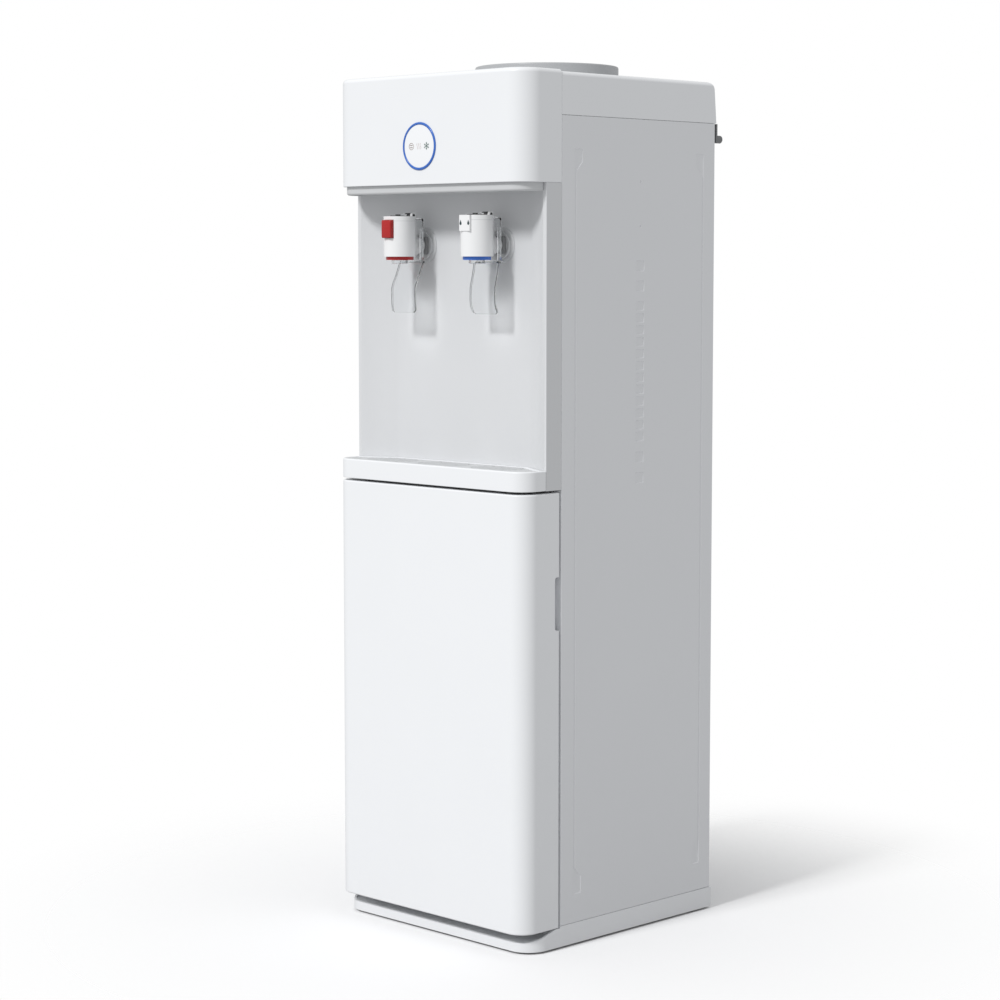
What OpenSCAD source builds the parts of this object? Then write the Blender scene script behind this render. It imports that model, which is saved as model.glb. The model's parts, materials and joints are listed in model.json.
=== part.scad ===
// Floor-standing bottle water dispenser with a hot tap, a cold tap, a drip tray and a lower cabinet.
// Frame: +Z up, front facing -Y.
// The modules measure y from the front face, and place() shifts them to the origin.

/* [Body] */
// Width over the side panels
body_w = 300; // [290:1:320]
// Depth from the front face to the rear sheet
body_d = 311; // [305:1:330]
// Depth of the moulded front: head, columns, tray and door
front_d = 60; // [58:1:62]
// Height of the top cover
cover_top = 952; // [948:1:970]
// Height of the cover's skirt
skirt_h = 46; // [40:1:50]

/* [Front] */
// Corner radius of the door and the tray
door_r = 22; // [16:1:26]
// Corner radius of the head and the base
head_r = 27; // [22:1:32]
// Bottom of the door
door_z0 = 23.4; // [22.5:0.1:25]
// Top of the door
door_z1 = 502.3; // [501:0.1:502.3]
// Bottom of the drip tray
tray_z0 = 505; // [505:0.1:506]
// Top of the drip tray
tray_z1 = 527; // [524:0.5:530]
// Bottom of the head
head_z0 = 834; // [830:1:838]
// Offset of the indicator from the middle
ring_x = -7.5; // [-10:0.5:0]
// Depth of the bay's rear wall behind the front face
bay_y = 58; // [57:0.5:58]
// Depth of the columns' faces behind the front face
column_y = 36.8; // [36:0.2:38]

/* [Taps] */
// Distance of each tap from the middle
tap_x = 61.5; // [56:0.5:66]
// Depth of the taps' axes behind the front face
tap_y = 20; // [20:0.5:22]
// Height of the taps' inlets
tap_z = 768; // [764:1:772]
// Radius of a tap's body
tap_r = 18; // [16:0.5:18]

/* [Door hinge] */
// Distance of the hinge line from the door's side
hinge_in = 7; // [7:0.1:7.5]
// Depth of the hinge line behind the front face
hinge_y = 50; // [49:0.5:50]
// Radius of the hinge pins
pin_r = 3; // [2.5:0.1:3.2]

/* [Bottle seat] */
// Outer radius of the bottle collar
collar_r = 81.5; // [78:0.5:84]
// Top of the bottle collar
collar_top = 970; // [962:1:980]
// Depth of the bottle's axis behind the front face
bottle_y = 192; // [188:1:196]

/* [Hidden] */
$fn = 48;
hw = body_w / 2;
proud = 1.4;                            // the indicator ring stands this far in front of the front face
spacer_d = 14;                          // depth of the wall spacers behind the rear sheet
origin_y = (body_d + spacer_d - proud) / 2;
gap = 0.3;
sheet_t = 1.2;
wall = 2.5;
base_z0 = 2;
base_z1 = 25;
base_y0 = 10.7;
deck_z = 12;
foot_x = [-hw + 34, hw - 34];
foot_y = [52, body_d - 34];
panel_y0 = front_d + 0.5;
panel_z0 = base_z1 + gap;
panel_z1 = cover_top - skirt_h - gap;
side_mid = (front_d + body_d) / 2;
emboss = 0.8;
head_z1 = cover_top + 2;
liner_y1 = 180;
liner_z1 = door_z1 + gap;
plate_z0 = liner_z1 + 0.1;              // the upper hinge plate lies on the liner
plate_z1 = plate_z0 + 1.8;
hinge_x = -hw + hinge_in;
ring_z = 875.5;                         // centre of the indicator
ring_ro = 26.1;
ring_ri = 23.3;
column_w = 5.2;
bay_x = 106;                            // half width of the bay's rear wall
tap_z0 = 755.6;                         // bottom and top of a tap's body
tap_z1 = 800.2;
lever_y = 34;                           // the levers' pivot line
lever_z = 801.5;
lever_pin_r = 1.6;
paddle_z0 = 692.7;                        // the paddle's lower edge and its bend
paddle_z1 = 720;
lock_z0 = 776.2;                        // the red lock button
lock_h = 19.8;
lock_w = 7.4;                           // its half width
ledge_z = 936;                          // the ledge that carries the bottle collar
shelf_z = 236;
tank_z0 = 742;
tank_z1 = 893;
tank_r = 62;
foam_r = 84;
hot_x = -12;
hot_y = 190;
hot_z0 = 566.2;
hot_z1 = 692;
hot_r = 46;
comp_x = -46;
comp_y = 246;
comp_r = 55;
coil_y = body_d + 7.8;                  // the plane of the condenser's tube
switch_x = 82;
switch_z = 852;
drain_x = 96;
drain_z = 78;
gland_x = -104;
gland_z = 78;

function arc(cx, cy, r, a0, a1, n = 5) =
    [for (i = [0:n]) let(a = a0 + (a1 - a0) * i / n) [cx + r * cos(a), cy + r * sin(a)]];
// The outer edge of a wall from z0 to z1 at half width w, with its bottom and top edges rounded
function edge_run(w, z0, z1, fb, ft) = concat(fb > 0 ? arc(w - fb, z0 + fb, fb, -90, 0) : [[w, z0]],
    ft > 0 ? arc(w - ft, z1 - ft, ft, 0, 90) : [[w, z1]]);
function half_profile(w, z0, z1, fb, ft) = concat([[0, z0]], edge_run(w, z0, z1, fb, ft), [[0, z1]]);
function reversed(list) = [for (i = [len(list) - 1:-1:0]) list[i]];
function full_profile(w, z0, z1, fb, ft) =
    let(e = edge_run(w, z0, z1, fb, ft)) concat(e, [for (p = reversed(e)) [-p[0], p[1]]]);

module place() {
    translate([0, -origin_y, 0]) children();
}

// A block with two rounded front corners, given by its half width, y0 to y1, z0 to z1 and its edge fillets
module front_block(w, y0, y1, r, z0, z1, fb = 0, ft = 0) {
    for (side = [-1, 1]) {
        translate([side * (w - r), y0 + r, 0]) rotate_extrude() polygon(half_profile(r, z0, z1, fb, ft));
    }
    translate([r - w, y0 + r, 0]) rotate([90, 0, 90]) linear_extrude(2 * (w - r))
        polygon([for (p = half_profile(r, z0, z1, fb, ft)) [-p[0], p[1]]]);
    translate([0, y1, 0]) rotate([90, 0, 0]) linear_extrude(y1 - y0 - r)
        polygon(full_profile(w, z0, z1, fb, ft));
}

// A box given by its low and high corners
module box(lo, hi) {
    translate(lo) cube(hi - lo);
}

// A cylinder along Y from y0 to y1
module rod_y(x, z, r, y0, y1) {
    translate([x, y1, z]) rotate([90, 0, 0]) cylinder(h = y1 - y0, r = r);
}

// A cylinder along X from x0 to x1
module rod_x(y, z, r, x0, x1) {
    translate([x0, y, z]) rotate([0, 90, 0]) cylinder(h = x1 - x0, r = r);
}

// A round tube along straight stretches, with a ball at each bend
module tube_run(points, r) {
    for (i = [0:len(points) - 2]) {
        step = points[i + 1] - points[i];
        translate(points[i]) rotate([0, acos(step[2] / norm(step)), atan2(step[1], step[0])])
            cylinder(h = norm(step), r = r, $fn = 24);
        if (i > 0) translate(points[i]) sphere(r = r + 0.3, $fn = 24);
    }
}

// ---------- base ----------

module base_plinth() color("whitesmoke") place() difference() {
    union() {
        difference() {
            front_block(hw, base_y0, body_d + 3, head_r, base_z0, base_z1);
            front_block(hw - 3, base_y0 + 3, body_d, head_r - 3, deck_z, base_z1 + 1);
            front_block(hw - 3, base_y0 + 3, body_d, head_r - 3, base_z0 - 1, deck_z - 3);
        }
        // Rail under the cabinet's front edge
        box([-hw + 3, front_d + 1, deck_z], [hw - 3, front_d + 4, base_z1]);
        for (x = foot_x, y = foot_y) {
            translate([x, y, base_z0]) cylinder(h = deck_z - base_z0, r = 17);
        }
        for (x = [-60, 0, 60]) box([x - 1, base_y0 + 2, base_z0 + 1], [x + 1, body_d + 1, deck_z - 2]);
    }
    // The rim falls away towards the front lip
    translate([-hw - 1, 0, 0]) rotate([90, 0, 90]) linear_extrude(body_w + 2)
        polygon([[0, deck_z], [base_y0 + 5, deck_z], [front_d - 6, door_z0 - 0.6],
            [front_d + 0.2, door_z0 - 0.6], [front_d + 0.2, base_z1 + 5], [0, base_z1 + 5]]);
    for (x = foot_x, y = foot_y) {
        translate([x, y, base_z0 - 1]) cylinder(h = 6, r = 14.2);
    }
    translate([hinge_x, hinge_y, deck_z]) cylinder(h = 20, r = 5.9);
}

module feet() color("dimgray") place() for (x = foot_x, y = foot_y) {
    translate([x, y, 0]) rotate_extrude() polygon([[0, 0], [12, 0], [13.8, 1.5], [13.8, 7], [0, 7]]);
}

// ---------- sheet panels ----------

// Pressed groove with a wider pad at each end, seen from the side
module groove_outline() {
    y0 = 79.8;
    y1 = 92.6;
    polygon([[y0, 57], [y1, 57], [y1, 76], [y0 + 3.2, 86], [y0 + 3.2, 847], [y1, 856.5], [y1, 871],
        [y0, 871]]);
}

module side_emboss() {
    groove_outline();
    translate([2 * side_mid, 0]) mirror([1, 0]) groove_outline();
    for (z = [745.6, 723.5, 534, 511]) translate([side_mid - 6.7, z - 6.1]) square([13.4, 12.2]);
    for (i = [0:11]) translate([side_mid - 6.7, 701.4 - 13.15 * i - 5.2]) square([13.4, 10.4]);
}

// The right-hand side sheet: flanged front and rear, with grooves and dimples pressed in
module side_sheet() difference() {
    union() {
        box([hw - sheet_t, panel_y0, panel_z0], [hw, body_d, panel_z1]);
        box([hw - 14, panel_y0, panel_z0], [hw, panel_y0 + sheet_t, panel_z1]);
        box([hw - 20, body_d - 2.6, panel_z0], [hw, body_d - 1.4, panel_z1]);
        translate([hw - sheet_t - emboss, 0, 0]) rotate([90, 0, 90]) linear_extrude(emboss + 0.1)
            side_emboss();
    }
    translate([hw - emboss, 0, 0]) rotate([90, 0, 90]) linear_extrude(emboss + 1) side_emboss();
    for (z = [837.8, 789]) rod_x(side_mid, z, 1.2, hw - 3, hw + 1);
    // Slot for the upper hinge plate
    box([hw - 30, panel_y0 - 1, plate_z0 - 0.2], [hw - sheet_t, panel_y0 + 2, plate_z1 + 0.2]);
}

module side_panel_right() color("gainsboro") place() side_sheet();

module side_panel_left() color("gainsboro") place() mirror([1, 0, 0]) side_sheet();

module rear_panel() color("gainsboro") place() difference() {
    box([-hw + 1.4, body_d - 1.2, panel_z0], [hw - 1.4, body_d, panel_z1]);
    for (column = [-1, 1], row = [0:8]) {
        box([column * 46 - 34, body_d - 3, 130 + 13 * row], [column * 46 + 34, body_d + 1, 135 + 13 * row]);
    }
    for (row = [0:3]) box([-60, body_d - 3, 800 + 12 * row], [10, body_d + 1, 804.5 + 12 * row]);
    box([switch_x - 21.5, body_d - 3, switch_z - 15.5], [switch_x + 21.5, body_d + 1, switch_z + 15.5]);
    rod_y(drain_x, drain_z, 9.2, body_d - 3, body_d + 1);
    rod_y(gland_x, gland_z, 8.2, body_d - 3, body_d + 1);
}

// ---------- top and head ----------

// The cover's side view, with a sloping rear face; inset is the wall's thickness,
// and open is the overshoot of a cut
module cover_outline(inset, open) {
    polygon(concat([[front_d + gap - open, cover_top - skirt_h - open],
        [body_d + 2.6 - inset, cover_top - skirt_h - open]],
        arc(body_d - 10.5, cover_top - 10, 10 - inset, 6, 90), [[front_d + gap - open, cover_top - inset]]));
}

module cover_solid(inset, fillet, open) intersection() {
    translate([-hw - 1, 0, 0]) rotate([90, 0, 90]) linear_extrude(body_w + 2) cover_outline(inset, open);
    translate([0, body_d + 10, 0]) rotate([90, 0, 0]) linear_extrude(body_d + 10)
        polygon(full_profile(hw - inset, cover_top - skirt_h - 1, cover_top - inset, 0, fillet));
}

module top_cover() color("whitesmoke") place() difference() {
    union() {
        difference() {
            cover_solid(0, 5, 0);
            cover_solid(wall, 2.5, 1);
            // Shallow drained deck round the collar
            box([-hw + 12, front_d + 14, cover_top - 1], [hw - 12, body_d - 16, cover_top + 1]);
        }
        // Socket for the bottle collar
        translate([0, bottle_y, ledge_z - 2])
            cylinder(h = cover_top - ledge_z + 1, r = collar_r + 3.2, $fn = 96);
    }
    translate([0, bottle_y, ledge_z]) cylinder(h = 40, r = collar_r + 0.6, $fn = 96);
    translate([0, bottle_y, ledge_z - 5]) cylinder(h = 20, r = collar_r - 4.5, $fn = 96);
}

module head_fascia() color("white") place() difference() {
    front_block(hw, 0, front_d, head_r, head_z0, head_z1, 3, 5);
    front_block(hw - wall, wall, front_d + 1, head_r - wall, head_z0 + wall, head_z1 - wall);
    // Opening in the underside, closed by the trim
    front_block(hw - 6, 6, front_d + 1, head_r - 6, head_z0 - 1, head_z0 + wall + 1);
    rod_y(ring_x, ring_z, 18, -1, wall + 1);
}

module head_trim() color("gainsboro") place() difference() {
    union() {
        intersection() {
            difference() {
                front_block(hw - 4, 4, front_d, head_r - 4, head_z0 - 9.5, head_z0 - 0.1, 2, 0);
                front_block(hw - 7, 7, front_d + 1, head_r - 7, head_z0 - 11, head_z0 + 1);
            }
            box([-hw, 0, head_z0 - 12], [hw, column_y - 0.4, head_z0]);
        }
        front_block(hw - 6.2, 6.2, bay_y - 0.4, head_r - 6.2, head_z0 - 2.6, head_z0 - 0.1);
    }
    // Room for the columns' tops
    for (side = [-1, 1]) {
        translate([side * hw, 0, head_z0 - 5]) linear_extrude(10) polygon([[side * -9, column_y - 0.3],
            [side * 2, column_y - 0.3], [side * 2, front_d + 1], [side * -46, front_d + 1]]);
    }
}

module light_ring() color("royalblue") place() difference() {
    rod_y(ring_x, ring_z, ring_ro, -proud, -0.05);
    rod_y(ring_x, ring_z, ring_ri, -proud - 1, 1);
}

module indicator_lens() color("white") place() {
    rod_y(ring_x, ring_z, ring_ri - 0.1, -1, -0.05);
    rod_y(ring_x, ring_z, 17.6, -0.05, 3.2);
}

module indicator_board() color("seagreen") place() translate([ring_x, 0, 0]) {
    box([-22, 6.4, ring_z - 16], [22, 8, ring_z + 16]);
    for (x = [-10, 0, 10]) rod_y(x, ring_z, 2.4, 3.5, 6.4);
    // Bosses to the fascia
    for (x = [-27, 27]) {
        rod_y(x, ring_z, 3, wall, 8);
        box([min(x, x * 0.7), 6.4, ring_z - 3], [max(x, x * 0.7), 8, ring_z + 3]);
    }
}

// ---------- dispensing bay ----------

module bay_outline() {
    polygon([[-hw, column_y], [-hw + column_w, column_y], [-bay_x, bay_y], [bay_x, bay_y],
        [hw - column_w, column_y], [hw, column_y], [hw, front_d], [-hw, front_d]]);
}

module niche_panel() color("whitesmoke") place() difference() {
    union() {
        translate([0, 0, tray_z0]) linear_extrude(head_z0 - 3 - tray_z0) bay_outline();
        // Column tops reach the head
        for (side = [-1, 1]) {
            box([side * (hw - column_w / 2) - column_w / 2, column_y, head_z0 - 4],
                [side * (hw - column_w / 2) + column_w / 2, front_d, head_z0 - 0.1]);
        }
        // Floor under the tray
        box([-hw + 12, 6, tray_z0], [hw - 12, bay_y + 1, tray_z0 + 2]);
    }
    // Hollows behind the slanted walls
    for (side = [-1, 1]) {
        translate([0, 0, tray_z0 + 2]) linear_extrude(head_z0 - tray_z0)
            polygon([[side * (hw - 2.2), column_y + 2.2], [side * (hw - 5), column_y + 2.6],
                [side * (bay_x + 4), bay_y + 0.3], [side * (bay_x + 4), front_d + 1],
                [side * (hw - 2.2), front_d + 1]]);
        rod_y(side * tap_x, tap_z, 8.3, bay_y - 5, front_d + 5);
    }
}

// The tray's outline, with rounded front corners and a narrower rear that fits between the slanted walls
module tray_outline(inset) {
    r = door_r - inset;
    y1 = column_y - 0.5;
    for (side = [-1, 1]) translate([side * (hw - door_r), door_r]) intersection() {
        circle(r = r);
        translate([-r, -r]) square([2 * r, r + 1]);
    }
    translate([-hw + door_r, inset]) square([body_w - 2 * door_r, y1 - 2 * inset]);
    translate([-hw + inset, door_r]) square([body_w - 2 * inset, y1 - inset - door_r]);
    polygon([[-hw + 6.4 + 1.6 * inset, y1 - inset - 1], [hw - 6.4 - 1.6 * inset, y1 - inset - 1],
        [bay_x - 1 - inset, bay_y - 0.6 - inset], [-bay_x + 1 + inset, bay_y - 0.6 - inset]]);
}

module drip_tray() color("white") place() difference() {
    union() {
        translate([0, 0, tray_z0 + 0.2]) linear_extrude(tray_z1 - tray_z0 - 3.2) tray_outline(0);
        translate([0, 0, tray_z1 - 3.1]) linear_extrude(1.6) tray_outline(0);
        translate([0, 0, tray_z1 - 1.6]) linear_extrude(1.6) tray_outline(0.7);
    }
    // Basin
    translate([0, 0, tray_z0 + 5]) linear_extrude(30) tray_outline(7.5);
    // Seat for the grille
    translate([0, 0, tray_z1 - 3.4]) linear_extrude(10) tray_outline(4);
    // Room for the bay's floor
    box([-hw + 11.4, 5.4, tray_z0 - 1], [hw - 11.4, bay_y + 2, tray_z0 + 2.4]);
}

// One of the grille's three rounded fields of slots
module grille_field(x, w) {
    for (i = [-3:3]) {
        half = w / 2 * sqrt(1 - pow(i / 4.2, 2));
        translate([x - half, 29 + i * 5.2 - 1.3]) square([2 * half, 2.6]);
    }
}

module drip_grille() color("gainsboro") place() translate([0, 0, tray_z1 - 3.1]) difference() {
    linear_extrude(2.8) tray_outline(4.4);
    translate([0, 0, -1]) linear_extrude(6) for (x = [-84, 0, 84]) grille_field(x, 72);
}

// ---------- taps ----------

module escutcheon(x) difference() {
    union() {
        rod_y(x, tap_z, 20, bay_y - 3, bay_y - 0.1);
        rod_y(x, tap_z, 15.2, bay_y - 3.6, bay_y - 2.5);
        box([x - 10, bay_y - 7.5, tap_z - 10], [x + 10, bay_y - 3.1, tap_z + 10]);
    }
    rod_y(x, tap_z, 8.2, bay_y - 10, bay_y + 1);
}

module hot_escutcheon() color("silver") place() escutcheon(-tap_x);

module cold_escutcheon() color("silver") place() escutcheon(tap_x);

// Threaded shank through the bay wall, with its lock nut behind
module shank(x) {
    difference() {
        rod_y(x, tap_z, 8, tap_y + 17.2, front_d + 22);
        rod_y(x, tap_z, 5, tap_y + 10, front_d + 30);
    }
    difference() {
        rod_y(x, tap_z, 13, front_d + 0.2, front_d + 7);
        rod_y(x, tap_z, 7.9, front_d - 1, front_d + 9);
    }
}

module hot_shank() color("white") place() shank(-tap_x);

module cold_shank() color("white") place() shank(tap_x);

// Tap body: an upright barrel with a boss for the shank and two ears that carry the lever
module tap_body(x) difference() {
    union() {
        translate([x, tap_y, tap_z0]) cylinder(h = tap_z1 - tap_z0, r = tap_r);
        rod_y(x, tap_z, 10.4, tap_y, tap_y + 24);
        for (side = [-1, 1]) {
            ear_x = x + side * 6.5;
            box([ear_x - 1.5, lever_y - 3, tap_z1 - 6], [ear_x + 1.5, lever_y + 2.4, lever_z]);
            rod_x(lever_y, lever_z, 2.9, ear_x - 1.5, ear_x + 1.5);
        }
    }
    // Slot for the lever's tongue
    box([x - 4.9, tap_y - 9, tap_z1 - 4.6], [x + 4.9, tap_y + tap_r + 2, tap_z1 + 6]);
    translate([x, tap_y, tap_z0 - 1]) cylinder(h = 8, r = 15.6);
    translate([x, tap_y, tap_z0 + 12]) cylinder(h = 20, r = 13.6);
    translate([x, tap_y, tap_z0 - 1]) cylinder(h = 16, r = 5.4);
    translate([x, tap_y, tap_z0]) cylinder(h = 60, r = 4.3);
    rod_y(x, tap_z, 8.1, tap_y + 17, tap_y + 30);
    rod_y(x, tap_z, 5, tap_y, tap_y + 20);
    rod_x(lever_y, lever_z, lever_pin_r + 0.05, x - 12, x + 12);
}

module hot_tap_body() color("white") place() difference() {
    tap_body(-tap_x);
    // Pocket for the lock button
    box([-tap_x - lock_w - 0.4, tap_y - tap_r - 2, lock_z0 - 0.4],
        [-tap_x + lock_w + 0.4, tap_y - tap_r + 7.5, lock_z0 + lock_h + 0.4]);
}

module cold_tap_body() color("white") place() difference() {
    pad_y = tap_y - tap_r - 0.9;
    union() {
        tap_body(tap_x);
        box([tap_x - 8, pad_y, 783], [tap_x + 8, tap_y - 11, tap_z1]);
    }
    // Two drop-shaped marks sunk in the pad
    for (side = [-1, 1]) {
        translate([tap_x + side * 5.9, pad_y + 1.2, 791]) rotate([90, 0, 0]) linear_extrude(5) {
            circle(r = 1.7, $fn = 16);
            polygon([[-1.55, 0.6], [1.55, 0.6], [0, 4.2]]);
        }
    }
}

module tap_ring(x) translate([x, tap_y, tap_z0 - 3.7]) difference() {
    cylinder(h = 5.5, r = 15.4);
    translate([0, 0, -1]) cylinder(h = 8, r = 11);
}

module hot_tap_ring() color("firebrick") place() tap_ring(-tap_x);

module cold_tap_ring() color("royalblue") place() tap_ring(tap_x);

// Spout inside the coloured ring
module nozzle(x) translate([x, tap_y, tap_z0 - 7.5]) difference() {
    union() {
        cylinder(h = 12, r = 9);
        translate([0, 0, 8.5]) cylinder(h = 6, r = 10.8);
    }
    translate([0, 0, -1]) cylinder(h = 20, r = 7);
}

module hot_nozzle() color("lightgray") place() nozzle(-tap_x);

module cold_nozzle() color("lightgray") place() nozzle(tap_x);

// Valve stem, pressed down by the lever's bridge
module plunger(x) translate([x, tap_y, tap_z0 + 18]) {
    cylinder(h = 5, r = 9);
    cylinder(h = lever_z - tap_z0 - 20.4, r = 4);
}

module hot_plunger() color("gray") place() plunger(-tap_x);

module cold_plunger() color("gray") place() plunger(tap_x);

// Clear lever: a tongue over the plunger, two arms behind the body and a paddle under the spout
module lever(x, top_y, paddle_y, lip) {
    arm_y = tap_y + 18.7;
    arm_z = tap_z0 - 4.4;
    box([x - 4.4, tap_y - 3, lever_z - 1.9], [x + 4.4, lever_y, lever_z + 1.8]);
    rod_x(lever_y, lever_z, 2.9, x - 4.4, x + 4.4);
    rod_x(lever_y, lever_z, lever_pin_r, x - 8.6, x + 8.6);
    box([x - 4.4, lever_y, lever_z - 2.9], [x + 4.4, arm_y + 3, lever_z - 0.4]);
    box([x - 16, arm_y, tap_z0 + 30], [x + 16, arm_y + 3, lever_z - 2.2]);
    for (side = [-1, 1]) {
        box([x + side * 14 - 2, arm_y, arm_z - 0.1], [x + side * 14 + 2, arm_y + 3, tap_z0 + 31]);
    }
    // Paddle, bent forward under the body, with its lower edge turned back
    translate([x - 19, 0, 0]) rotate([90, 0, 90]) linear_extrude(38)
        polygon([[top_y, arm_z], [arm_y + 3, arm_z], [arm_y + 3, arm_z - 2.6], [top_y + 3, arm_z - 3.4],
            [paddle_y + 3, paddle_z1 - 1], [paddle_y + 3, paddle_z0 + 11],
            [paddle_y + lip + 3, paddle_z0], [paddle_y + lip, paddle_z0],
            [paddle_y, paddle_z0 + 11], [paddle_y, paddle_z1], [top_y, arm_z - 2.4]]);
}

module hot_lever() color("lightgray") place() lever(-tap_x, tap_y + 16, tap_y + 4.5, 1);

module cold_lever() color("lightgray") place() lever(tap_x, tap_y + 13.4, tap_y + 7.6, 5);

module lock_button() color("firebrick") place() {
    box([-tap_x - lock_w, tap_y - tap_r - 3.3, lock_z0],
        [-tap_x + lock_w, tap_y - tap_r + 3.7, lock_z0 + lock_h]);
}

// ---------- door ----------

module door_panel() color("white") place() difference() {
    union() {
        difference() {
            front_block(hw, 0, front_d - 3, door_r, door_z0, door_z1, 1.5, 1.5);
            front_block(hw - wall, wall, front_d, door_r - wall, door_z0 + wall, door_z1 - wall);
        }
        // Hinge bosses
        for (z = [door_z0 + 1, door_z1 - 17]) translate([hinge_x, hinge_y, z]) cylinder(h = 16, r = 6.9);
        // Wall round the finger pull
        box([hw - 14, front_d - 13, 349], [hw - wall, front_d - 3, 414]);
    }
    for (z = [door_z0 - 1, door_z1 - 16]) translate([hinge_x, hinge_y, z]) cylinder(h = 17, r = pin_r + 0.05);
    box([hw - 11.5, front_d - 9.5, 352], [hw + 1, front_d, 411]);
}

module door_liner() color("gainsboro") place() difference() {
    union() {
        box([-hw + 3.5, front_d - 2.9, door_z0 + 2.6], [hw - 2.7, front_d - 1, door_z1 - 2.6]);
        // Stiffening ribs inside the door
        for (z = [120, 215, 310, 430]) box([-hw + 24, front_d - 12, z], [hw - 24, front_d - 2.8, z + 2]);
    }
    box([hw - 11.5, front_d - 9.5, 352], [hw + 1, front_d, 411]);
}

module door_gasket() color("dimgray") place() difference() {
    box([-hw + 9, front_d - 0.95, door_z0 + 7], [hw - 13, front_d - 0.1, door_z1 - 7]);
    box([-hw + 14, front_d - 2, door_z0 + 12], [hw - 18, front_d + 1, door_z1 - 12]);
}

module door_keeper() color("gray") place() {
    box([hw - 48, front_d - 0.95, door_z1 - 22], [hw - 20, front_d + 0.1, door_z1 - 13]);
}

module magnet_catch() color("gray") place() {
    box([hw - 48, front_d + 0.5, door_z1 - 22], [hw - 20, front_d + 14, door_z1 - 1.8]);
}

module hinge_bracket_upper() color("silver") place() {
    box([-hw + 1.6, hinge_y - 9, plate_z0], [-hw + 25, front_d + 18, plate_z1]);
    translate([hinge_x, hinge_y, door_z1 - 13]) cylinder(h = plate_z1 - door_z1 + 13, r = pin_r);
}

module hinge_bracket_lower() color("silver") place() {
    box([-hw + 5, hinge_y - 8, deck_z + 0.05], [-hw + 28, hinge_y + 9, deck_z + 2]);
    translate([hinge_x, hinge_y, deck_z + 0.05]) cylinder(h = door_z0 - deck_z - 0.35, r = 5.5);
    translate([hinge_x, hinge_y, deck_z + 0.05]) cylinder(h = door_z0 - deck_z + 13, r = pin_r);
}

module cabinet_liner() color("whitesmoke") place() {
    difference() {
        box([-hw + 2.6, front_d + 1.9, panel_z0], [hw - 2.6, liner_y1, liner_z1]);
        box([-hw + 4.6, front_d, panel_z0 + 2], [hw - 4.6, liner_y1 - 2, liner_z1 - 2]);
    }
    // Ledges that carry the shelf
    for (side = [-1, 1]) {
        ledge_x = side * (hw - 7.6);
        box([ledge_x - 3.1, front_d + 12, shelf_z - 4], [ledge_x + 3.1, liner_y1 - 1, shelf_z - 0.1]);
    }
}

module cabinet_shelf() color("silver") place() {
    for (y = [front_d + 14, liner_y1 - 8]) rod_x(y, shelf_z + 2.5, 2.5, -hw + 5, hw - 5);
    for (i = [-8:8]) rod_y(i * 16, shelf_z + 6.35, 1.3, front_d + 12, liner_y1 - 6);
}

// ---------- bottle seat ----------

module bottle_collar() color("darkgray") place() translate([0, bottle_y, 0]) rotate_extrude($fn = 96) {
    polygon([[collar_r - 3, ledge_z + 0.3], [collar_r, ledge_z + 0.3], [collar_r, collar_top - 1.6],
        [collar_r - 0.5, collar_top - 0.5], [collar_r - 1.6, collar_top], [collar_r - 5, collar_top],
        [collar_r - 6.2, collar_top - 1.2], [collar_r - 6.5, collar_top - 12], [34, 929], [34, 906.5],
        [37, 906.5], [37, 927], [collar_r - 3, collar_top - 15.5]]);
}

// Hollow probe that opens the bottle's cap, on a perforated plate in the funnel's neck
module water_probe() color("white") place() translate([0, bottle_y, 0]) difference() {
    union() {
        rotate_extrude() polygon([[6.5, 884], [9, 884], [9, 944], [7, 950], [3, 953.5], [0, 954.5],
            [0, 951.5], [6.5, 944]]);
        translate([0, 0, 907.5]) cylinder(h = 2.5, r = 33.8);
        for (a = [0, 90]) rotate([0, 0, a]) box([-20, -1, 909], [20, 1, 926]);
    }
    translate([0, 0, 880]) cylinder(h = 64, r = 6.5);
    for (a = [45:90:315]) rotate([0, 0, a]) translate([21, 0, 900]) cylinder(h = 20, r = 6);
    for (a = [0, 90]) rotate([0, 0, a]) rod_x(0, 938, 2.5, -12, 12);
}

// ---------- water system ----------

module tank_frame() color("lightgray") place() difference() {
    union() {
        for (z = [564, 726]) box([-hw + 2.6, 116, z], [hw - 2.6, 284, z + 2]);
        for (x = [-118, 118], y = [126, 276]) box([x - 5, y - 5, 565], [x + 5, y + 5, 727]);
    }
    for (p = [[44, 148], [12, 196]]) translate([p[0], p[1], 720]) cylinder(h = 12, r = 8);
    for (x = [-60, 60]) translate([x, 240, 560]) cylinder(h = 12, r = 16);
    translate([-100, 236, 560]) cylinder(h = 180, r = 6);
}

module cold_tank() color("silver") place() translate([0, bottle_y, 0]) difference() {
    translate([0, 0, tank_z0]) cylinder(h = tank_z1 - tank_z0, r = tank_r);
    translate([0, 0, tank_z0 + 1.5]) cylinder(h = tank_z1 - tank_z0 - 3, r = tank_r - 1.5);
    translate([0, 0, tank_z1 - 5]) cylinder(h = 10, r = 14);
}

module evaporator_coil() color("peru") place() translate([0, bottle_y, 0]) {
    for (i = [0:6]) {
        translate([0, 0, 770 + 9 * i]) rotate_extrude() translate([tank_r + 4, 0]) circle(r = 3, $fn = 20);
    }
}

module tank_insulation() color("ivory") place() translate([0, bottle_y, 0]) difference() {
    translate([0, 0, 728.2]) cylinder(h = tank_z1 - 728.2 + 6, r = foam_r);
    translate([0, 0, tank_z0 - 0.3]) cylinder(h = tank_z1 - tank_z0 + 0.8, r = 70.5);
    translate([0, 0, tank_z1 - 10]) cylinder(h = 30, r = 16);
    for (p = [[44, -44], [12, 4]]) translate([p[0], p[1], 720]) cylinder(h = 30, r = 6.2);
}

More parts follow.
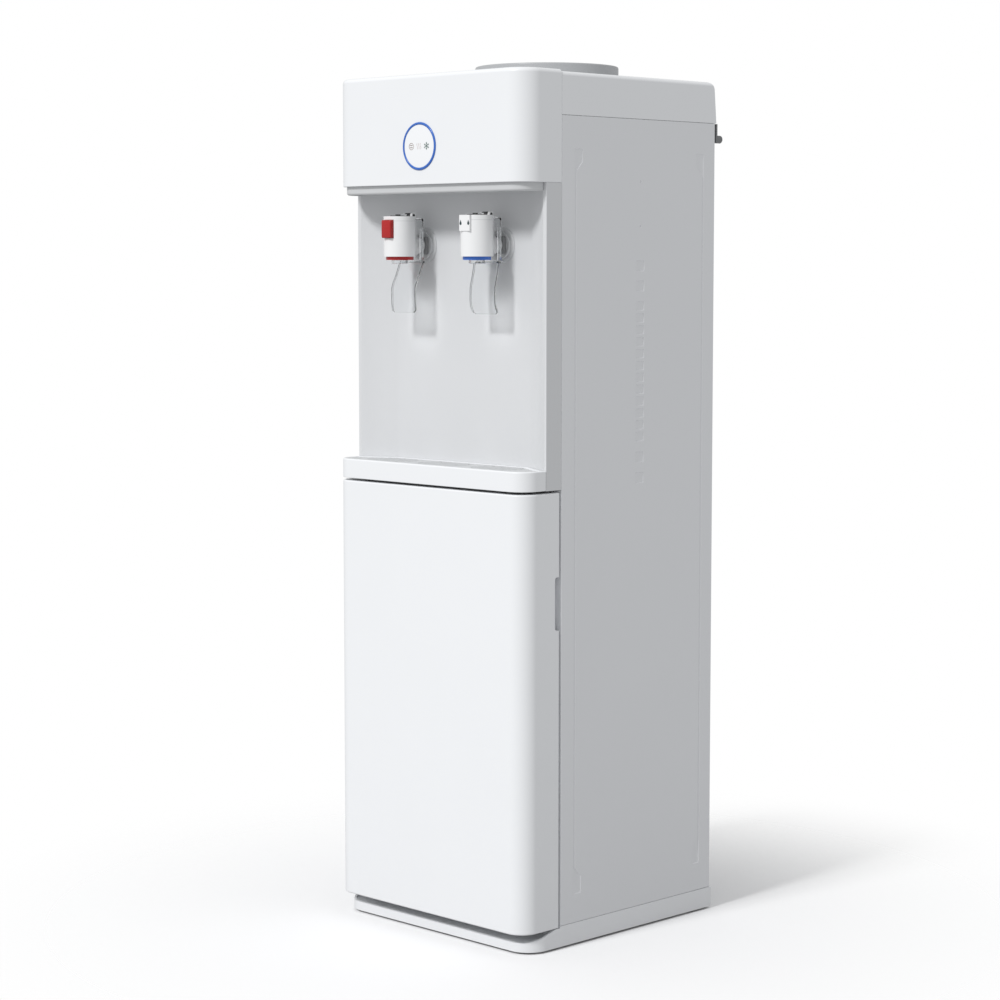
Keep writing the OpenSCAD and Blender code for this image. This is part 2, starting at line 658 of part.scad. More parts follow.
module hot_tank() color("silver") place() translate([hot_x, hot_y, 0]) difference() {
    end_r = 8;
    rotate_extrude() polygon(half_profile(hot_r, hot_z0, hot_z1, end_r, end_r));
    translate([0, 0, hot_z0 + end_r]) cylinder(h = hot_z1 - hot_z0 - 2 * end_r, r = hot_r - 1.5);
}

module heater_band() color("darkgray") place() translate([hot_x, hot_y, 604]) difference() {
    union() {
        cylinder(h = 38, r = hot_r + 2.2);
        box([-6, -hot_r - 14, 12], [6, -hot_r + 2, 26]);
    }
    translate([0, 0, -1]) cylinder(h = 60, r = hot_r + 0.2);
}

module thermostats() color("black") place() for (x = [hot_x - 6, hot_x + 22]) {
    translate([x, hot_y - 22, hot_z1 + 0.1]) cylinder(h = 9, r = 8);
    for (tab_x = [x - 4, x + 4]) {
        box([tab_x - 1, hot_y - 25, hot_z1 + 9], [tab_x + 1, hot_y - 19, hot_z1 + 15]);
    }
}

module water_hoses() color("lightsteelblue") place() {
    shank_y = front_d + 22.2;
    hose_r = 5.5;
    tube_run([[44, 148, tank_z0 - 1], [44, 148, 712], [tap_x, 104, 712], [tap_x, 96, tap_z],
        [tap_x, shank_y, tap_z]], hose_r);
    tube_run([[-42, 170, hot_z1 + 6.5], [-48, 148, 708], [-tap_x, 104, 716], [-tap_x, 96, tap_z],
        [-tap_x, shank_y, tap_z]], hose_r);
    // Feed from the cold tank down to the hot tank, and the hot tank's drain
    tube_run([[12, 196, tank_z0 - 1], [12, 196, hot_z1 + 0.2]], hose_r);
    tube_run([[38, 202, 584], [60, 240, 584], [60, 240, 540], [drain_x, 296, 500], [drain_x, 296, drain_z],
        [drain_x, body_d - 8, drain_z]], hose_r);
}

// ---------- cooling system ----------

module compressor() color("black") place() translate([comp_x, comp_y, 0]) {
    difference() {
        rotate_extrude() polygon(concat([[0, 36]], arc(comp_r - 14, 50, 14, -90, 0),
            arc(comp_r - 30, 148, 30, 0, 80, 8), [[0, 182]]));
        // Room round the motor
        translate([0, 0, 30]) cylinder(h = 118, r = 36);
    }
    for (x = [-50, 50], y = [-46, 46]) box([min(x, x * 0.5), y - 8, 38], [max(x, x * 0.5), y + 8, 41]);
    box([-50, -54, 38], [-34, 54, 41]);
    box([34, -54, 38], [50, 54, 41]);
    // Terminal cover
    box([comp_r - 6, -18, 70], [comp_r + 14, 18, 118]);
}

module compressor_grommets() color("dimgray") place() for (x = [-42, 42], y = [-46, 46]) {
    translate([comp_x + x, comp_y + y, deck_z + 0.1]) rotate_extrude()
        polygon([[0, 0], [10, 0], [10, 8], [7.5, 12], [10, 16], [10, 25.8], [0, 25.8]]);
}

module refrigerant_pipes() color("peru") place() {
    tube_run([[comp_x, comp_y - 21, 182], [comp_x + 1, comp_y - 20, 500], [-100, 236, 540],
        [-101, 236, 815], [-foam_r - 4, bottle_y, 830]], 3);
    tube_run([[comp_x + 20, comp_y, 180.2], [comp_x + 22, comp_y, 250], [60, 290, 275],
        [62, body_d - 3, 270]], 2.5);
    // Filter drier and the capillary to the evaporator
    translate([112, 292, 330]) cylinder(h = 110.1, r = 9);
    tube_run([[110, 292, 440], [110, 292, 770], [110, 240, 800], [foam_r + 4, bottle_y, 815]], 1.6);
}

module condenser() color("black") place() {
    rows = 12;
    pitch = 36;
    run = 98;
    z0 = 300;
    for (i = [0:rows - 1]) {
        rod_x(coil_y, z0 + pitch * i, 2.4, -run + 0.02, run - 0.02);
    }
    for (i = [0:rows - 2]) {
        side = i % 2 == 0 ? 1 : -1;
        translate([side * run, coil_y, z0 + pitch * (i + 0.5)]) rotate([90, 0, 0])
            rotate([0, 0, side * -90]) rotate_extrude(angle = 180) translate([pitch / 2, 0])
                circle(r = 2.4, $fn = 24);
    }
    for (i = [-9:9]) {
        translate([i * 10.4, coil_y + 3.3, z0 - 12]) cylinder(h = pitch * (rows - 1) + 24, r = 0.8, $fn = 13);
    }
    // Stand-off clips
    for (x = [-70, 70], z = [z0 + pitch, z0 + pitch * 10]) {
        box([x - 5, body_d + 0.05, z - 7], [x + 5, coil_y - 2.45, z + 7]);
    }
}

// ---------- rear fittings ----------

module switch_bezel() color("black") place() difference() {
    union() {
        box([switch_x - 25, body_d + 0.05, switch_z - 19], [switch_x + 25, body_d + 3, switch_z + 19]);
        box([switch_x - 21, body_d - 12, switch_z - 15], [switch_x + 21, body_d + 1, switch_z + 15]);
    }
    for (x = [-11, 11]) {
        box([switch_x + x - 8, body_d - 10, switch_z - 12], [switch_x + x + 8, body_d + 5, switch_z + 12]);
        rod_x(body_d - 3, switch_z, 1.55, switch_x + x - 10, switch_x + x + 10);
    }
}

// Rocker button: a V-shaped cap that tips on a pin through its middle
module rocker(x) {
    translate([x - 7.6, 0, 0]) rotate([90, 0, 90]) linear_extrude(15.2)
        polygon([[body_d + 1.2, switch_z], [body_d + 4.4, switch_z + 9.8], [body_d - 3, switch_z + 9.8],
            [body_d - 6, switch_z], [body_d - 3, switch_z - 9.8], [body_d + 1.6, switch_z - 9.8]]);
    rod_x(body_d - 3, switch_z, 1.5, x - 9.6, x + 9.6);
}

module rocker_hot() color("firebrick") place() rocker(switch_x - 11);

module rocker_cold() color("seagreen") place() rocker(switch_x + 11);

module drain_fitting() color("white") place() difference() {
    union() {
        rod_y(drain_x, drain_z, 9, body_d - 7.8, body_d + 9);
        rod_y(drain_x, drain_z, 13, body_d - 4.2, body_d - 1.3);
        rod_y(drain_x, drain_z, 13, body_d + 0.1, body_d + 2);
    }
    rod_y(drain_x, drain_z, 5.6, body_d - 10, body_d + 12);
}

module drain_cap() color("white") place() difference() {
    union() {
        rod_y(drain_x, drain_z, 12, body_d + 2.4, body_d + 12.5);
        for (a = [0:30:330]) {
            rod_y(drain_x + 12 * cos(a), drain_z + 12 * sin(a), 1.2, body_d + 2.4, body_d + 12.5);
        }
    }
    rod_y(drain_x, drain_z, 9.4, body_d, body_d + 9.6);
}

module cable_gland() color("black") place() difference() {
    union() {
        rod_y(gland_x, gland_z, 8, body_d - 6, body_d + 7);
        rod_y(gland_x, gland_z, 12, body_d + 0.1, body_d + 3);
        rod_y(gland_x, gland_z, 11, body_d - 5, body_d - 1.3);
    }
    rod_y(gland_x, gland_z, 3.6, body_d - 10, body_d + 10);
}

module wall_spacers() color("darkgray") place() for (side = [-1, 1]) {
    x = side * (hw - 9);
    box([x - 6, body_d + 0.05, 885], [x + 6, body_d + 2.6, 905]);
    box([x - 8.5, body_d + 2.6, 884], [x + 8.5, body_d + 5, 905.4]);
    rod_y(side * (hw - 5), 888.4, 4.4, body_d + 5, body_d + spacer_d);
}

// ---------- the chosen node, or all of them ----------

base_plinth();
feet();
side_panel_left();
side_panel_right();
rear_panel();
top_cover();
head_fascia();
head_trim();
light_ring();
indicator_lens();
indicator_board();
niche_panel();
cabinet_liner();
cabinet_shelf();
hinge_bracket_upper();
hinge_bracket_lower();
magnet_catch();
door_panel();
door_liner();
door_gasket();
door_keeper();
hot_escutcheon();
cold_escutcheon();
hot_shank();
cold_shank();
hot_tap_body();
cold_tap_body();
hot_tap_ring();
cold_tap_ring();
hot_nozzle();
cold_nozzle();
hot_plunger();
cold_plunger();
hot_lever();
cold_lever();
lock_button();
drip_tray();
drip_grille();
bottle_collar();
water_probe();
tank_frame();
cold_tank();
evaporator_coil();
tank_insulation();
hot_tank();
heater_band();
thermostats();
water_hoses();
compressor();
compressor_grommets();
refrigerant_pipes();
condenser();
switch_bezel();
rocker_hot();
rocker_cold();
drain_fitting();
drain_cap();
cable_gland();
wall_spacers();
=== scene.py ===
import json
import math

import bmesh
import bpy
from bpy.props import FloatProperty, FloatVectorProperty, PointerProperty
from mathutils import Matrix, Vector


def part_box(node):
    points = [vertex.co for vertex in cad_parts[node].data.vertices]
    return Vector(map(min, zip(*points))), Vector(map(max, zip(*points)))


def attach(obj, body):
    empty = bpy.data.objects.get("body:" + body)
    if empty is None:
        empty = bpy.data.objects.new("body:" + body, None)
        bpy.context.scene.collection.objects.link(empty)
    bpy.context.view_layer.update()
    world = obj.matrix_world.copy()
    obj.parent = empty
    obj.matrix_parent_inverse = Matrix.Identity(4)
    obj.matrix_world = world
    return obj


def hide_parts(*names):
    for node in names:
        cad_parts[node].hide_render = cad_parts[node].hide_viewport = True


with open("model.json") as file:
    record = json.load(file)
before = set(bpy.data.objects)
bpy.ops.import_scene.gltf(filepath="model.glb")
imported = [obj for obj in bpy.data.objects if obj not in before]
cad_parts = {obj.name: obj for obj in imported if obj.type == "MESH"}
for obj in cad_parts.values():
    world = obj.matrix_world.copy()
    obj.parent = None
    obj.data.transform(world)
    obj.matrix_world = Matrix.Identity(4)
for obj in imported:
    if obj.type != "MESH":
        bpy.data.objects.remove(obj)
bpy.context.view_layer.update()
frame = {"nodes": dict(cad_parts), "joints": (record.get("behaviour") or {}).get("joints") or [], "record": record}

bl_info = {
    "name": "Bottled Water Dispenser",
    "version": (1, 0, 0),
    "blender": (4, 5, 0),
    "location": "View3D > Sidebar > Dispenser",
    "description": "Visible pieces, finishes and studio of a floor-standing bottled water dispenser",
    "category": "Object",
}

NODES = frame["nodes"]
SLOT_OF = {part["node"]: part["material_slot"] for part in frame["record"]["subparts"]}
JOINTS = {joint["name"]: joint for joint in frame["joints"]}
MM = 0.001
SIDES = (-1, 1)
SHARP = math.radians(32)      # edges that turn by more than this stay sharp
HEAD_CORNER = 27 * MM         # plan radius of the head's front corners
DOOR_CORNER = 22 * MM         # the same for the door and the tray
BAY_FRONT = 36.8 * MM         # from the head's front to the bay's side walls


# ---------- settings ----------

def colour_prop(name, description, default):
    return FloatVectorProperty(name=name, description=description, subtype="COLOR", size=3, min=0.0, max=1.0,
                               default=default)


def length_prop(name, description, default):
    return FloatProperty(name=name, description=description, unit="LENGTH", subtype="DISTANCE", min=0.0,
                         default=default, precision=5)


class DispenserSizes(bpy.types.PropertyGroup):
    shell_wall: length_prop("Shell wall", "Wall thickness of the moulded shells", 2.5 * MM)
    edge_round: length_prop("Edge rounding", "Rounding of small moulded edges", 0.5 * MM)
    icon_relief: length_prop("Icon relief", "Height of the printed icons above the lens", 0.08 * MM)
    lever_thickness: length_prop("Lever thickness", "Thickness of the clear levers", 2.4 * MM)
    screw_radius: length_prop("Screw radius", "Radius of the rear screws' heads", 3.6 * MM)


class DispenserColours(bpy.types.PropertyGroup):
    shell: colour_prop("Shell", "Moulded head, door, tray and bay", (0.86, 0.872, 0.89))
    sheet: colour_prop("Side sheets", "Painted sheet of the sides and the rear", (0.80, 0.81, 0.83))
    trim: colour_prop("Trim", "Trim under the head and the tray's grille", (0.60, 0.61, 0.62))
    ring: colour_prop("Indicator ring", "Blue ring round the indicator", (0.045, 0.15, 0.53))
    hot: colour_prop("Hot marks", "Red lock button, ring and rocker", (0.42, 0.016, 0.016))
    cold: colour_prop("Cold marks", "Blue ring of the cold tap", (0.045, 0.16, 0.60))
    plate: colour_prop("Wall plates", "Plates behind the taps", (0.62, 0.63, 0.64))
    collar: colour_prop("Bottle collar", "Collar and funnel that carry the bottle", (0.42, 0.43, 0.44))
    floor: colour_prop("Floor", "Studio floor", (0.96, 0.96, 0.965))


def sizes():
    return bpy.context.scene.dispenser_sizes


def colours():
    return bpy.context.scene.dispenser_colours


# ---------- shader node groups ----------

def group_tree(name, inputs, outputs):
    """A shader node group with the named float or colour sockets, and its input and output nodes."""
    tree = bpy.data.node_groups.new(name, "ShaderNodeTree")
    for label, kind, value in inputs:
        socket = tree.interface.new_socket(name=label, in_out="INPUT", socket_type=kind)
        socket.default_value = value
    for label, kind in outputs:
        tree.interface.new_socket(name=label, in_out="OUTPUT", socket_type=kind)
    return tree, tree.nodes.new("NodeGroupInput"), tree.nodes.new("NodeGroupOutput")


def math_node(tree, operation, first, second=None):
    node = tree.nodes.new("ShaderNodeMath")
    node.operation = operation
    for socket, value in zip(node.inputs, (first, second)):
        if value is None:
            continue
        if isinstance(value, (int, float)):
            socket.default_value = value
        else:
            tree.links.new(value, socket)
    return node.outputs[0]


def noise_node(tree, scale, detail=3.0, stretch=(1.0, 1.0, 1.0)):
    """Noise in the piece's own coordinates, in metres."""
    coordinates = tree.nodes.new("ShaderNodeTexCoord")
    mapping = tree.nodes.new("ShaderNodeMapping")
    mapping.inputs["Scale"].default_value = stretch
    noise = tree.nodes.new("ShaderNodeTexNoise")
    noise.inputs["Detail"].default_value = detail
    if isinstance(scale, (int, float)):
        noise.inputs["Scale"].default_value = scale
    else:
        tree.links.new(scale, noise.inputs["Scale"])
    tree.links.new(coordinates.outputs["Object"], mapping.inputs["Vector"])
    tree.links.new(mapping.outputs["Vector"], noise.inputs["Vector"])
    return noise.outputs["Fac"]


def make_grain_group():
    """Fine moulded or sprayed texture: a height for Bump and a slow mask for tone and gloss."""
    tree, given, result = group_tree(
        "Fine_Grain",
        [("Scale", "NodeSocketFloat", 900.0), ("Amount", "NodeSocketFloat", 0.3)],
        [("Height", "NodeSocketFloat"), ("Mask", "NodeSocketFloat")])
    fine = noise_node(tree, given.outputs["Scale"], 2.0)
    tree.links.new(math_node(tree, "MULTIPLY", fine, given.outputs["Amount"]), result.inputs["Height"])
    tree.links.new(noise_node(tree, 9.0, 4.0), result.inputs["Mask"])
    return tree


def make_wear_group():
    """Mask of rubbed outer edges, broken up by noise."""
    tree, given, result = group_tree(
        "Rubbed_Edges", [("Strength", "NodeSocketFloat", 0.3)], [("Mask", "NodeSocketFloat")])
    geometry = tree.nodes.new("ShaderNodeNewGeometry")
    ramp = tree.nodes.new("ShaderNodeMapRange")
    ramp.inputs["From Min"].default_value = 0.54
    ramp.inputs["From Max"].default_value = 0.66
    tree.links.new(geometry.outputs["Pointiness"], ramp.inputs["Value"])
    broken = math_node(tree, "MULTIPLY", ramp.outputs["Result"], noise_node(tree, 60.0))
    tree.links.new(math_node(tree, "MULTIPLY", broken, given.outputs["Strength"]), result.inputs["Mask"])
    return tree


def make_dust_group():
    """Mask of fine dust on upward faces."""
    tree, given, result = group_tree(
        "Settled_Dust", [("Strength", "NodeSocketFloat", 0.2)], [("Mask", "NodeSocketFloat")])
    geometry = tree.nodes.new("ShaderNodeNewGeometry")
    parts = tree.nodes.new("ShaderNodeSeparateXYZ")
    tree.links.new(geometry.outputs["Normal"], parts.inputs["Vector"])
    upward = math_node(tree, "POWER", math_node(tree, "MAXIMUM", parts.outputs["Z"], 0.0), 4.0)
    speckled = math_node(tree, "MULTIPLY", upward, noise_node(tree, 35.0, 6.0))
    tree.links.new(math_node(tree, "MULTIPLY", speckled, given.outputs["Strength"]), result.inputs["Mask"])
    return tree


def shared_group(name):
    makers = {"Fine_Grain": make_grain_group, "Rubbed_Edges": make_wear_group,
              "Settled_Dust": make_dust_group}
    return bpy.data.node_groups.get(name) or makers[name]()


# ---------- finishes ----------

def place_group(tree, name, **values):
    node = tree.nodes.new("ShaderNodeGroup")
    node.node_tree = shared_group(name)
    for label, value in values.items():
        node.inputs[label].default_value = value
    return node


def blend_colour(tree, factor, first, second):
    """Mixes two colours; each is a socket or three numbers."""
    mix = tree.nodes.new("ShaderNodeMix")
    mix.data_type = "RGBA"
    if isinstance(factor, (int, float)):
        mix.inputs["Factor"].default_value = factor
    else:
        tree.links.new(factor, mix.inputs["Factor"])
    for label, value in (("A", first), ("B", second)):
        socket = [s for s in mix.inputs if s.name == label and s.type == "RGBA"][0]
        if isinstance(value, bpy.types.NodeSocket):
            tree.links.new(value, socket)
        else:
            socket.default_value = (*value, 1.0)
    return [s for s in mix.outputs if s.type == "RGBA"][0]


def scaled(colour, factor):
    return tuple(min(1.0, channel * factor) for channel in colour)


def finish_material(name, colour, roughness, metallic=0.0, grain=(900.0, 0.3), depth=0.05, drift=0.03,
                    wear=0.15, worn=None, dust=0.12, coat=0.0, gloss_spread=0.06, brushed=None,
                    transmission=0.0, ior=1.46):
    """One opaque or clear finish with tone drift, gloss variation, grain, rubbed edges and settled dust."""
    material = bpy.data.materials.get(name)
    if material:
        return material
    material = bpy.data.materials.new(name)
    material.use_nodes = True
    tree = material.node_tree
    shader = tree.nodes["Principled BSDF"]
    grain_node = place_group(tree, "Fine_Grain", Scale=grain[0], Amount=grain[1])
    tone = blend_colour(tree, grain_node.outputs["Mask"],
                        scaled(colour, 1.0 - drift), scaled(colour, 1.0 + drift))
    if wear:
        edges = place_group(tree, "Rubbed_Edges", Strength=wear)
        tone = blend_colour(tree, edges.outputs["Mask"], tone, worn or scaled(colour, 1.12))
    if dust:
        settled = place_group(tree, "Settled_Dust", Strength=dust)
        tone = blend_colour(tree, settled.outputs["Mask"], tone, (0.62, 0.61, 0.59))
    tree.links.new(tone, shader.inputs["Base Color"])
    spread = tree.nodes.new("ShaderNodeMapRange")
    spread.inputs["To Min"].default_value = max(0.02, roughness - gloss_spread)
    spread.inputs["To Max"].default_value = min(1.0, roughness + gloss_spread)
    tree.links.new(grain_node.outputs["Mask"], spread.inputs["Value"])
    tree.links.new(spread.outputs["Result"], shader.inputs["Roughness"])
    height = grain_node.outputs["Height"]
    if brushed:
        streaks = noise_node(tree, 700.0, 2.0, brushed)
        height = math_node(tree, "ADD", height, math_node(tree, "MULTIPLY", streaks, 0.6))
    bump = tree.nodes.new("ShaderNodeBump")
    bump.inputs["Distance"].default_value = depth * MM
    bump.inputs["Strength"].default_value = 0.6
    tree.links.new(height, bump.inputs["Height"])
    tree.links.new(bump.outputs["Normal"], shader.inputs["Normal"])
    shader.inputs["Metallic"].default_value = metallic
    shader.inputs["Coat Weight"].default_value = coat
    shader.inputs["Coat Roughness"].default_value = 0.12
    shader.inputs["IOR"].default_value = ior
    shader.inputs["Transmission Weight"].default_value = transmission
    return material


def shell_white():
    return finish_material("Moulded_White", tuple(colours().shell), 0.34, grain=(700.0, 0.5), depth=0.03,
                           drift=0.012, wear=0.10, dust=0.06)


def shaded_bay_white():
    # The shell's white darkened to 0.8, as painted shade of the recessed bay
    return finish_material("Shaded_Bay_White", scaled(tuple(colours().shell), 0.80), 0.45, grain=(900.0, 0.6),
                           depth=0.04, drift=0.014, wear=0.10, dust=0.06)


def sheet_paint():
    return finish_material("Sheet_Paint", tuple(colours().sheet), 0.42, grain=(420.0, 0.8), depth=0.05,
                           drift=0.012, wear=0.20, dust=0.08)


def trim_grey():
    return finish_material("Trim_Grey", tuple(colours().trim), 0.40, grain=(1100.0, 0.6), depth=0.05)


def ring_blue():
    return finish_material("Ring_Blue", tuple(colours().ring), 0.25, drift=0.06, wear=0.1, dust=0.03)


def hot_red():
    return finish_material("Hot_Red", tuple(colours().hot), 0.28, drift=0.05, wear=0.2, dust=0.03)


def cold_blue():
    return finish_material("Cold_Blue", tuple(colours().cold), 0.28, drift=0.05, wear=0.2, dust=0.03)


def tap_white():
    return finish_material("Tap_White", (0.87, 0.875, 0.88), 0.24, grain=(1000.0, 0.25), depth=0.02,
                           drift=0.01, wear=0.08, dust=0.04)


def lens_white():
    return finish_material("Lens_White", (0.90, 0.91, 0.925), 0.14, grain=(1400.0, 0.15), depth=0.01,
                           drift=0.008, wear=0.0, dust=0.03, coat=0.3)


def plate_grey():
    return finish_material("Plate_Grey", tuple(colours().plate), 0.30, drift=0.06, wear=0.25, dust=0.05)


def nut_grey():
    return finish_material("Nut_Grey", scaled(tuple(colours().plate), 0.4), 0.35, drift=0.06, wear=0.3,
                           dust=0.05)


def collar_grey():
    return finish_material("Collar_Grey", tuple(colours().collar), 0.36, grain=(1000.0, 0.4), depth=0.04,
                           drift=0.03, wear=0.2, dust=0.1)


def liner_white():
    return finish_material("Liner_White", (0.80, 0.81, 0.82), 0.5, grain=(260.0, 0.9), depth=0.12, drift=0.03)


def soft_black():
    return finish_material("Soft_Black", (0.025, 0.025, 0.027), 0.46, grain=(1200.0, 0.8), depth=0.06,
                           drift=0.25, worn=(0.10, 0.10, 0.105), wear=0.4, dust=0.2)


def rubber_black():
    return finish_material("Rubber_Black", (0.035, 0.035, 0.036), 0.72, grain=(500.0, 0.9), depth=0.15,
                           drift=0.3, worn=(0.12, 0.12, 0.12), wear=0.5, dust=0.4)


def gasket_grey():
    return finish_material("Gasket_Grey", (0.30, 0.31, 0.32), 0.65, grain=(450.0, 0.9), depth=0.12,
                           drift=0.08)


def enamel_black():
    return finish_material("Enamel_Black", (0.018, 0.018, 0.02), 0.28, grain=(240.0, 0.9), depth=0.10,
                           drift=0.3, worn=(0.09, 0.09, 0.09), wear=0.3, dust=0.3, coat=0.2)


def zinc_steel():
    return finish_material("Zinc_Steel", (0.62, 0.63, 0.64), 0.36, metallic=1.0, grain=(160.0, 0.8),
                           depth=0.04, drift=0.12, wear=0.3, dust=0.1)


def bright_wire():
    return finish_material("Bright_Wire", (0.74, 0.75, 0.76), 0.16, metallic=1.0, grain=(300.0, 0.4),
                           depth=0.02, drift=0.05, wear=0.1, dust=0.05)


def tank_steel():
    return finish_material("Tank_Steel", (0.66, 0.66, 0.655), 0.30, metallic=1.0, drift=0.08, depth=0.05,
                           brushed=(0.05, 0.05, 6.0))


def copper_tube():
    return finish_material("Copper_Tube", (0.72, 0.33, 0.19), 0.30, metallic=1.0, grain=(120.0, 0.8),
                           depth=0.05, drift=0.25, worn=(0.85, 0.50, 0.35), wear=0.4)


def foam_ivory():
    return finish_material("Foam_Ivory", (0.80, 0.75, 0.60), 0.85, grain=(220.0, 1.0), depth=0.8, drift=0.12,
                           wear=0.2, dust=0.2)


def valve_rubber():
    return finish_material("Valve_Silicone", (0.50, 0.50, 0.49), 0.55, drift=0.06)


def hose_silicone():
    return finish_material("Hose_Silicone", (0.78, 0.81, 0.83), 0.30, drift=0.04, transmission=0.35, ior=1.41)


def board_green():
    return finish_material("Board_Green", (0.03, 0.17, 0.08), 0.35, grain=(300.0, 0.6), drift=0.2)


def rocker_green():
    return finish_material("Rocker_Green", (0.02, 0.24, 0.07), 0.26, drift=0.06)


def spacer_grey():
    return finish_material("Spacer_Grey", (0.20, 0.205, 0.21), 0.48, drift=0.08, wear=0.3)


def mark_teal():
    return finish_material("Mark_Teal", (0.02, 0.045, 0.05), 0.35, drift=0.1, wear=0.0, dust=0.0)


def icon_material(name, colour):
    return finish_material(name, colour, 0.5, drift=0.08, wear=0.0, dust=0.0)


def clear_plastic():
    material = bpy.data.materials.get("Clear_Plastic")
    if material:
        return material
    material = finish_material("Clear_Plastic", (0.965, 0.975, 0.98), 0.06, grain=(260.0, 0.4), depth=0.02,
                               drift=0.004, wear=0.0, dust=0.0, gloss_spread=0.02, transmission=1.0, ior=1.49)
    # Light passes the clear levers, so their shadows stay faint
    tree = material.node_tree
    path = tree.nodes.new("ShaderNodeLightPath")
    faint = math_node(tree, "MULTIPLY", path.outputs["Is Shadow Ray"], 0.4)
    solid = math_node(tree, "SUBTRACT", 1.0, faint)
    tree.links.new(solid, tree.nodes["Principled BSDF"].inputs["Alpha"])
    return material


FINISH_OF_SLOT = {
    "shell_white": shell_white, "sheet_grey": sheet_paint, "trim_grey": trim_grey, "ring_blue": ring_blue,
    "lens_white": lens_white, "board_green": board_green, "liner_white": liner_white,
    "wire_steel": bright_wire, "zinc_steel": zinc_steel, "catch_black": soft_black,
    "gasket_grey": gasket_grey, "wall_plate_grey": plate_grey, "tap_white": tap_white, "hot_red": hot_red,
    "cold_blue": cold_blue, "clear_plastic": clear_plastic, "valve_rubber": valve_rubber,
    "collar_grey": collar_grey, "tank_steel": tank_steel, "copper_tube": copper_tube,
    "foam_ivory": foam_ivory, "hose_clear": hose_silicone, "compressor_black": enamel_black,
    "feet_rubber": rubber_black, "coil_black": enamel_black, "rocker_green": rocker_green,
    "spacer_grey": spacer_grey,
}


# ---------- mesh helpers ----------

def mark_smooth(bm):
    """Smooth shading, with the sharp edges kept."""
    for face in bm.faces:
        face.smooth = True
    for edge in bm.edges:
        edge.smooth = len(edge.link_faces) == 2 and edge.calc_face_angle(0.0) < SHARP


def add_bevel(piece, width, segments=3, limit=SHARP):
    """Rounds the sharp edges and keeps the flats flat."""
    bevel = piece.modifiers.new("Rounded_Edges", "BEVEL")
    bevel.width = width
    bevel.segments = segments
    bevel.limit_method = "ANGLE"
    bevel.angle_limit = limit
    bevel.miter_outer = "MITER_ARC"
    bevel.use_clamp_overlap = True
    flats = piece.modifiers.new("Flat_Normals", "WEIGHTED_NORMAL")
    flats.keep_sharp = True


def make_piece(name, bm, body, material, replaced=(), bevel=0.0, segments=3):
    """Turns a bmesh into a piece that rides on a body."""
    bmesh.ops.recalc_face_normals(bm, faces=bm.faces)
    mark_smooth(bm)
    mesh = bpy.data.meshes.new(name)
    bm.to_mesh(mesh)
    bm.free()
    piece = bpy.data.objects.new(name, mesh)
    bpy.context.scene.collection.objects.link(piece)
    mesh.materials.append(material)
    if bevel:
        add_bevel(piece, bevel, segments)
    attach(piece, body)
    if replaced:
        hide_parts(*replaced)
    return piece


def dress_node(node, material=None, bevel=None):
    """Gives a carried-over node its finish, and rounded edges unless the bevel is 0."""
    piece = NODES[node]
    piece.data.materials.clear()
    piece.data.materials.append(material or FINISH_OF_SLOT[SLOT_OF[node]]())
    for polygon in piece.data.polygons:
        polygon.use_smooth = True
    width = sizes().edge_round if bevel is None else bevel
    if width:
        weld = piece.modifiers.new("Join_Corners", "WELD")
        weld.merge_threshold = 0.00001
        flatten = piece.modifiers.new("Whole_Flats", "DECIMATE")
        flatten.decimate_type = "DISSOLVE"
        flatten.angle_limit = math.radians(0.6)
        add_bevel(piece, width, 2)


def add_stack(bm, rings):
    """Quads between closed rings of equally many points, with flat caps."""
    loops = [[bm.verts.new(point) for point in ring] for ring in rings]
    count = len(loops[0])
    for lower, upper in zip(loops, loops[1:]):
        for i in range(count):
            j = (i + 1) % count
            bm.faces.new((lower[i], lower[j], upper[j], upper[i]))
    bm.faces.new(list(reversed(loops[0])))
    bm.faces.new(loops[-1])


def add_lathe(bm, centre, profile, axis="Z", segments=72, closed=True):
    """Turns a profile of (radius, height) points round an axis through the centre."""
    turn = {"Z": Matrix.Identity(3), "Y": Matrix.Rotation(math.radians(-90), 3, "X"),
            "X": Matrix.Rotation(math.radians(90), 3, "Y")}[axis]
    columns = []
    for k in range(segments):
        angle = 2 * math.pi * k / segments
        spin = Vector((math.cos(angle), math.sin(angle), 0.0))
        columns.append([bm.verts.new(Vector(centre) + turn @ (spin * r + Vector((0.0, 0.0, h))))
                        if r > 1e-7 or k == 0 else None for r, h in profile])
    for column in columns[1:]:
        for i, vert in enumerate(column):
            if vert is None:
                column[i] = columns[0][i]
    rows = len(profile)
    steps = range(rows) if closed else range(rows - 1)
    for k in range(segments):
        here, there = columns[k], columns[(k + 1) % segments]
        for i in steps:
            j = (i + 1) % rows
            corners = []
            for vert in (here[i], here[j], there[j], there[i]):
                if vert not in corners:
                    corners.append(vert)
            if len(corners) > 2:
                bm.faces.new(corners)


def add_block(bm, low, high):
    """A rectangular block, for parts that get their edges rounded afterwards."""
    (x0, y0, z0), (x1, y1, z1) = low, high
    base = [(x0, y0), (x1, y0), (x1, y1), (x0, y1)]
    add_stack(bm, [[(x, y, z) for x, y in base] for z in (z0, z1)])


def add_tube(bm, path, radius, sides=12):
    """A round tube along a path of points, capped at both ends."""
    points = [Vector(p) for p in path]
    rings, normal = [], None
    for i, point in enumerate(points):
        ahead = points[min(i + 1, len(points) - 1)] - points[max(i - 1, 0)]
        ahead.normalize()
        if normal is None:
            normal = ahead.orthogonal().normalized()
        normal = (normal - ahead * normal.dot(ahead)).normalized()
        across = ahead.cross(normal)
        rings.append([point + normal * math.cos(2 * math.pi * k / sides) * radius
                      + across * math.sin(2 * math.pi * k / sides) * radius for k in range(sides)])
    add_stack(bm, rings)


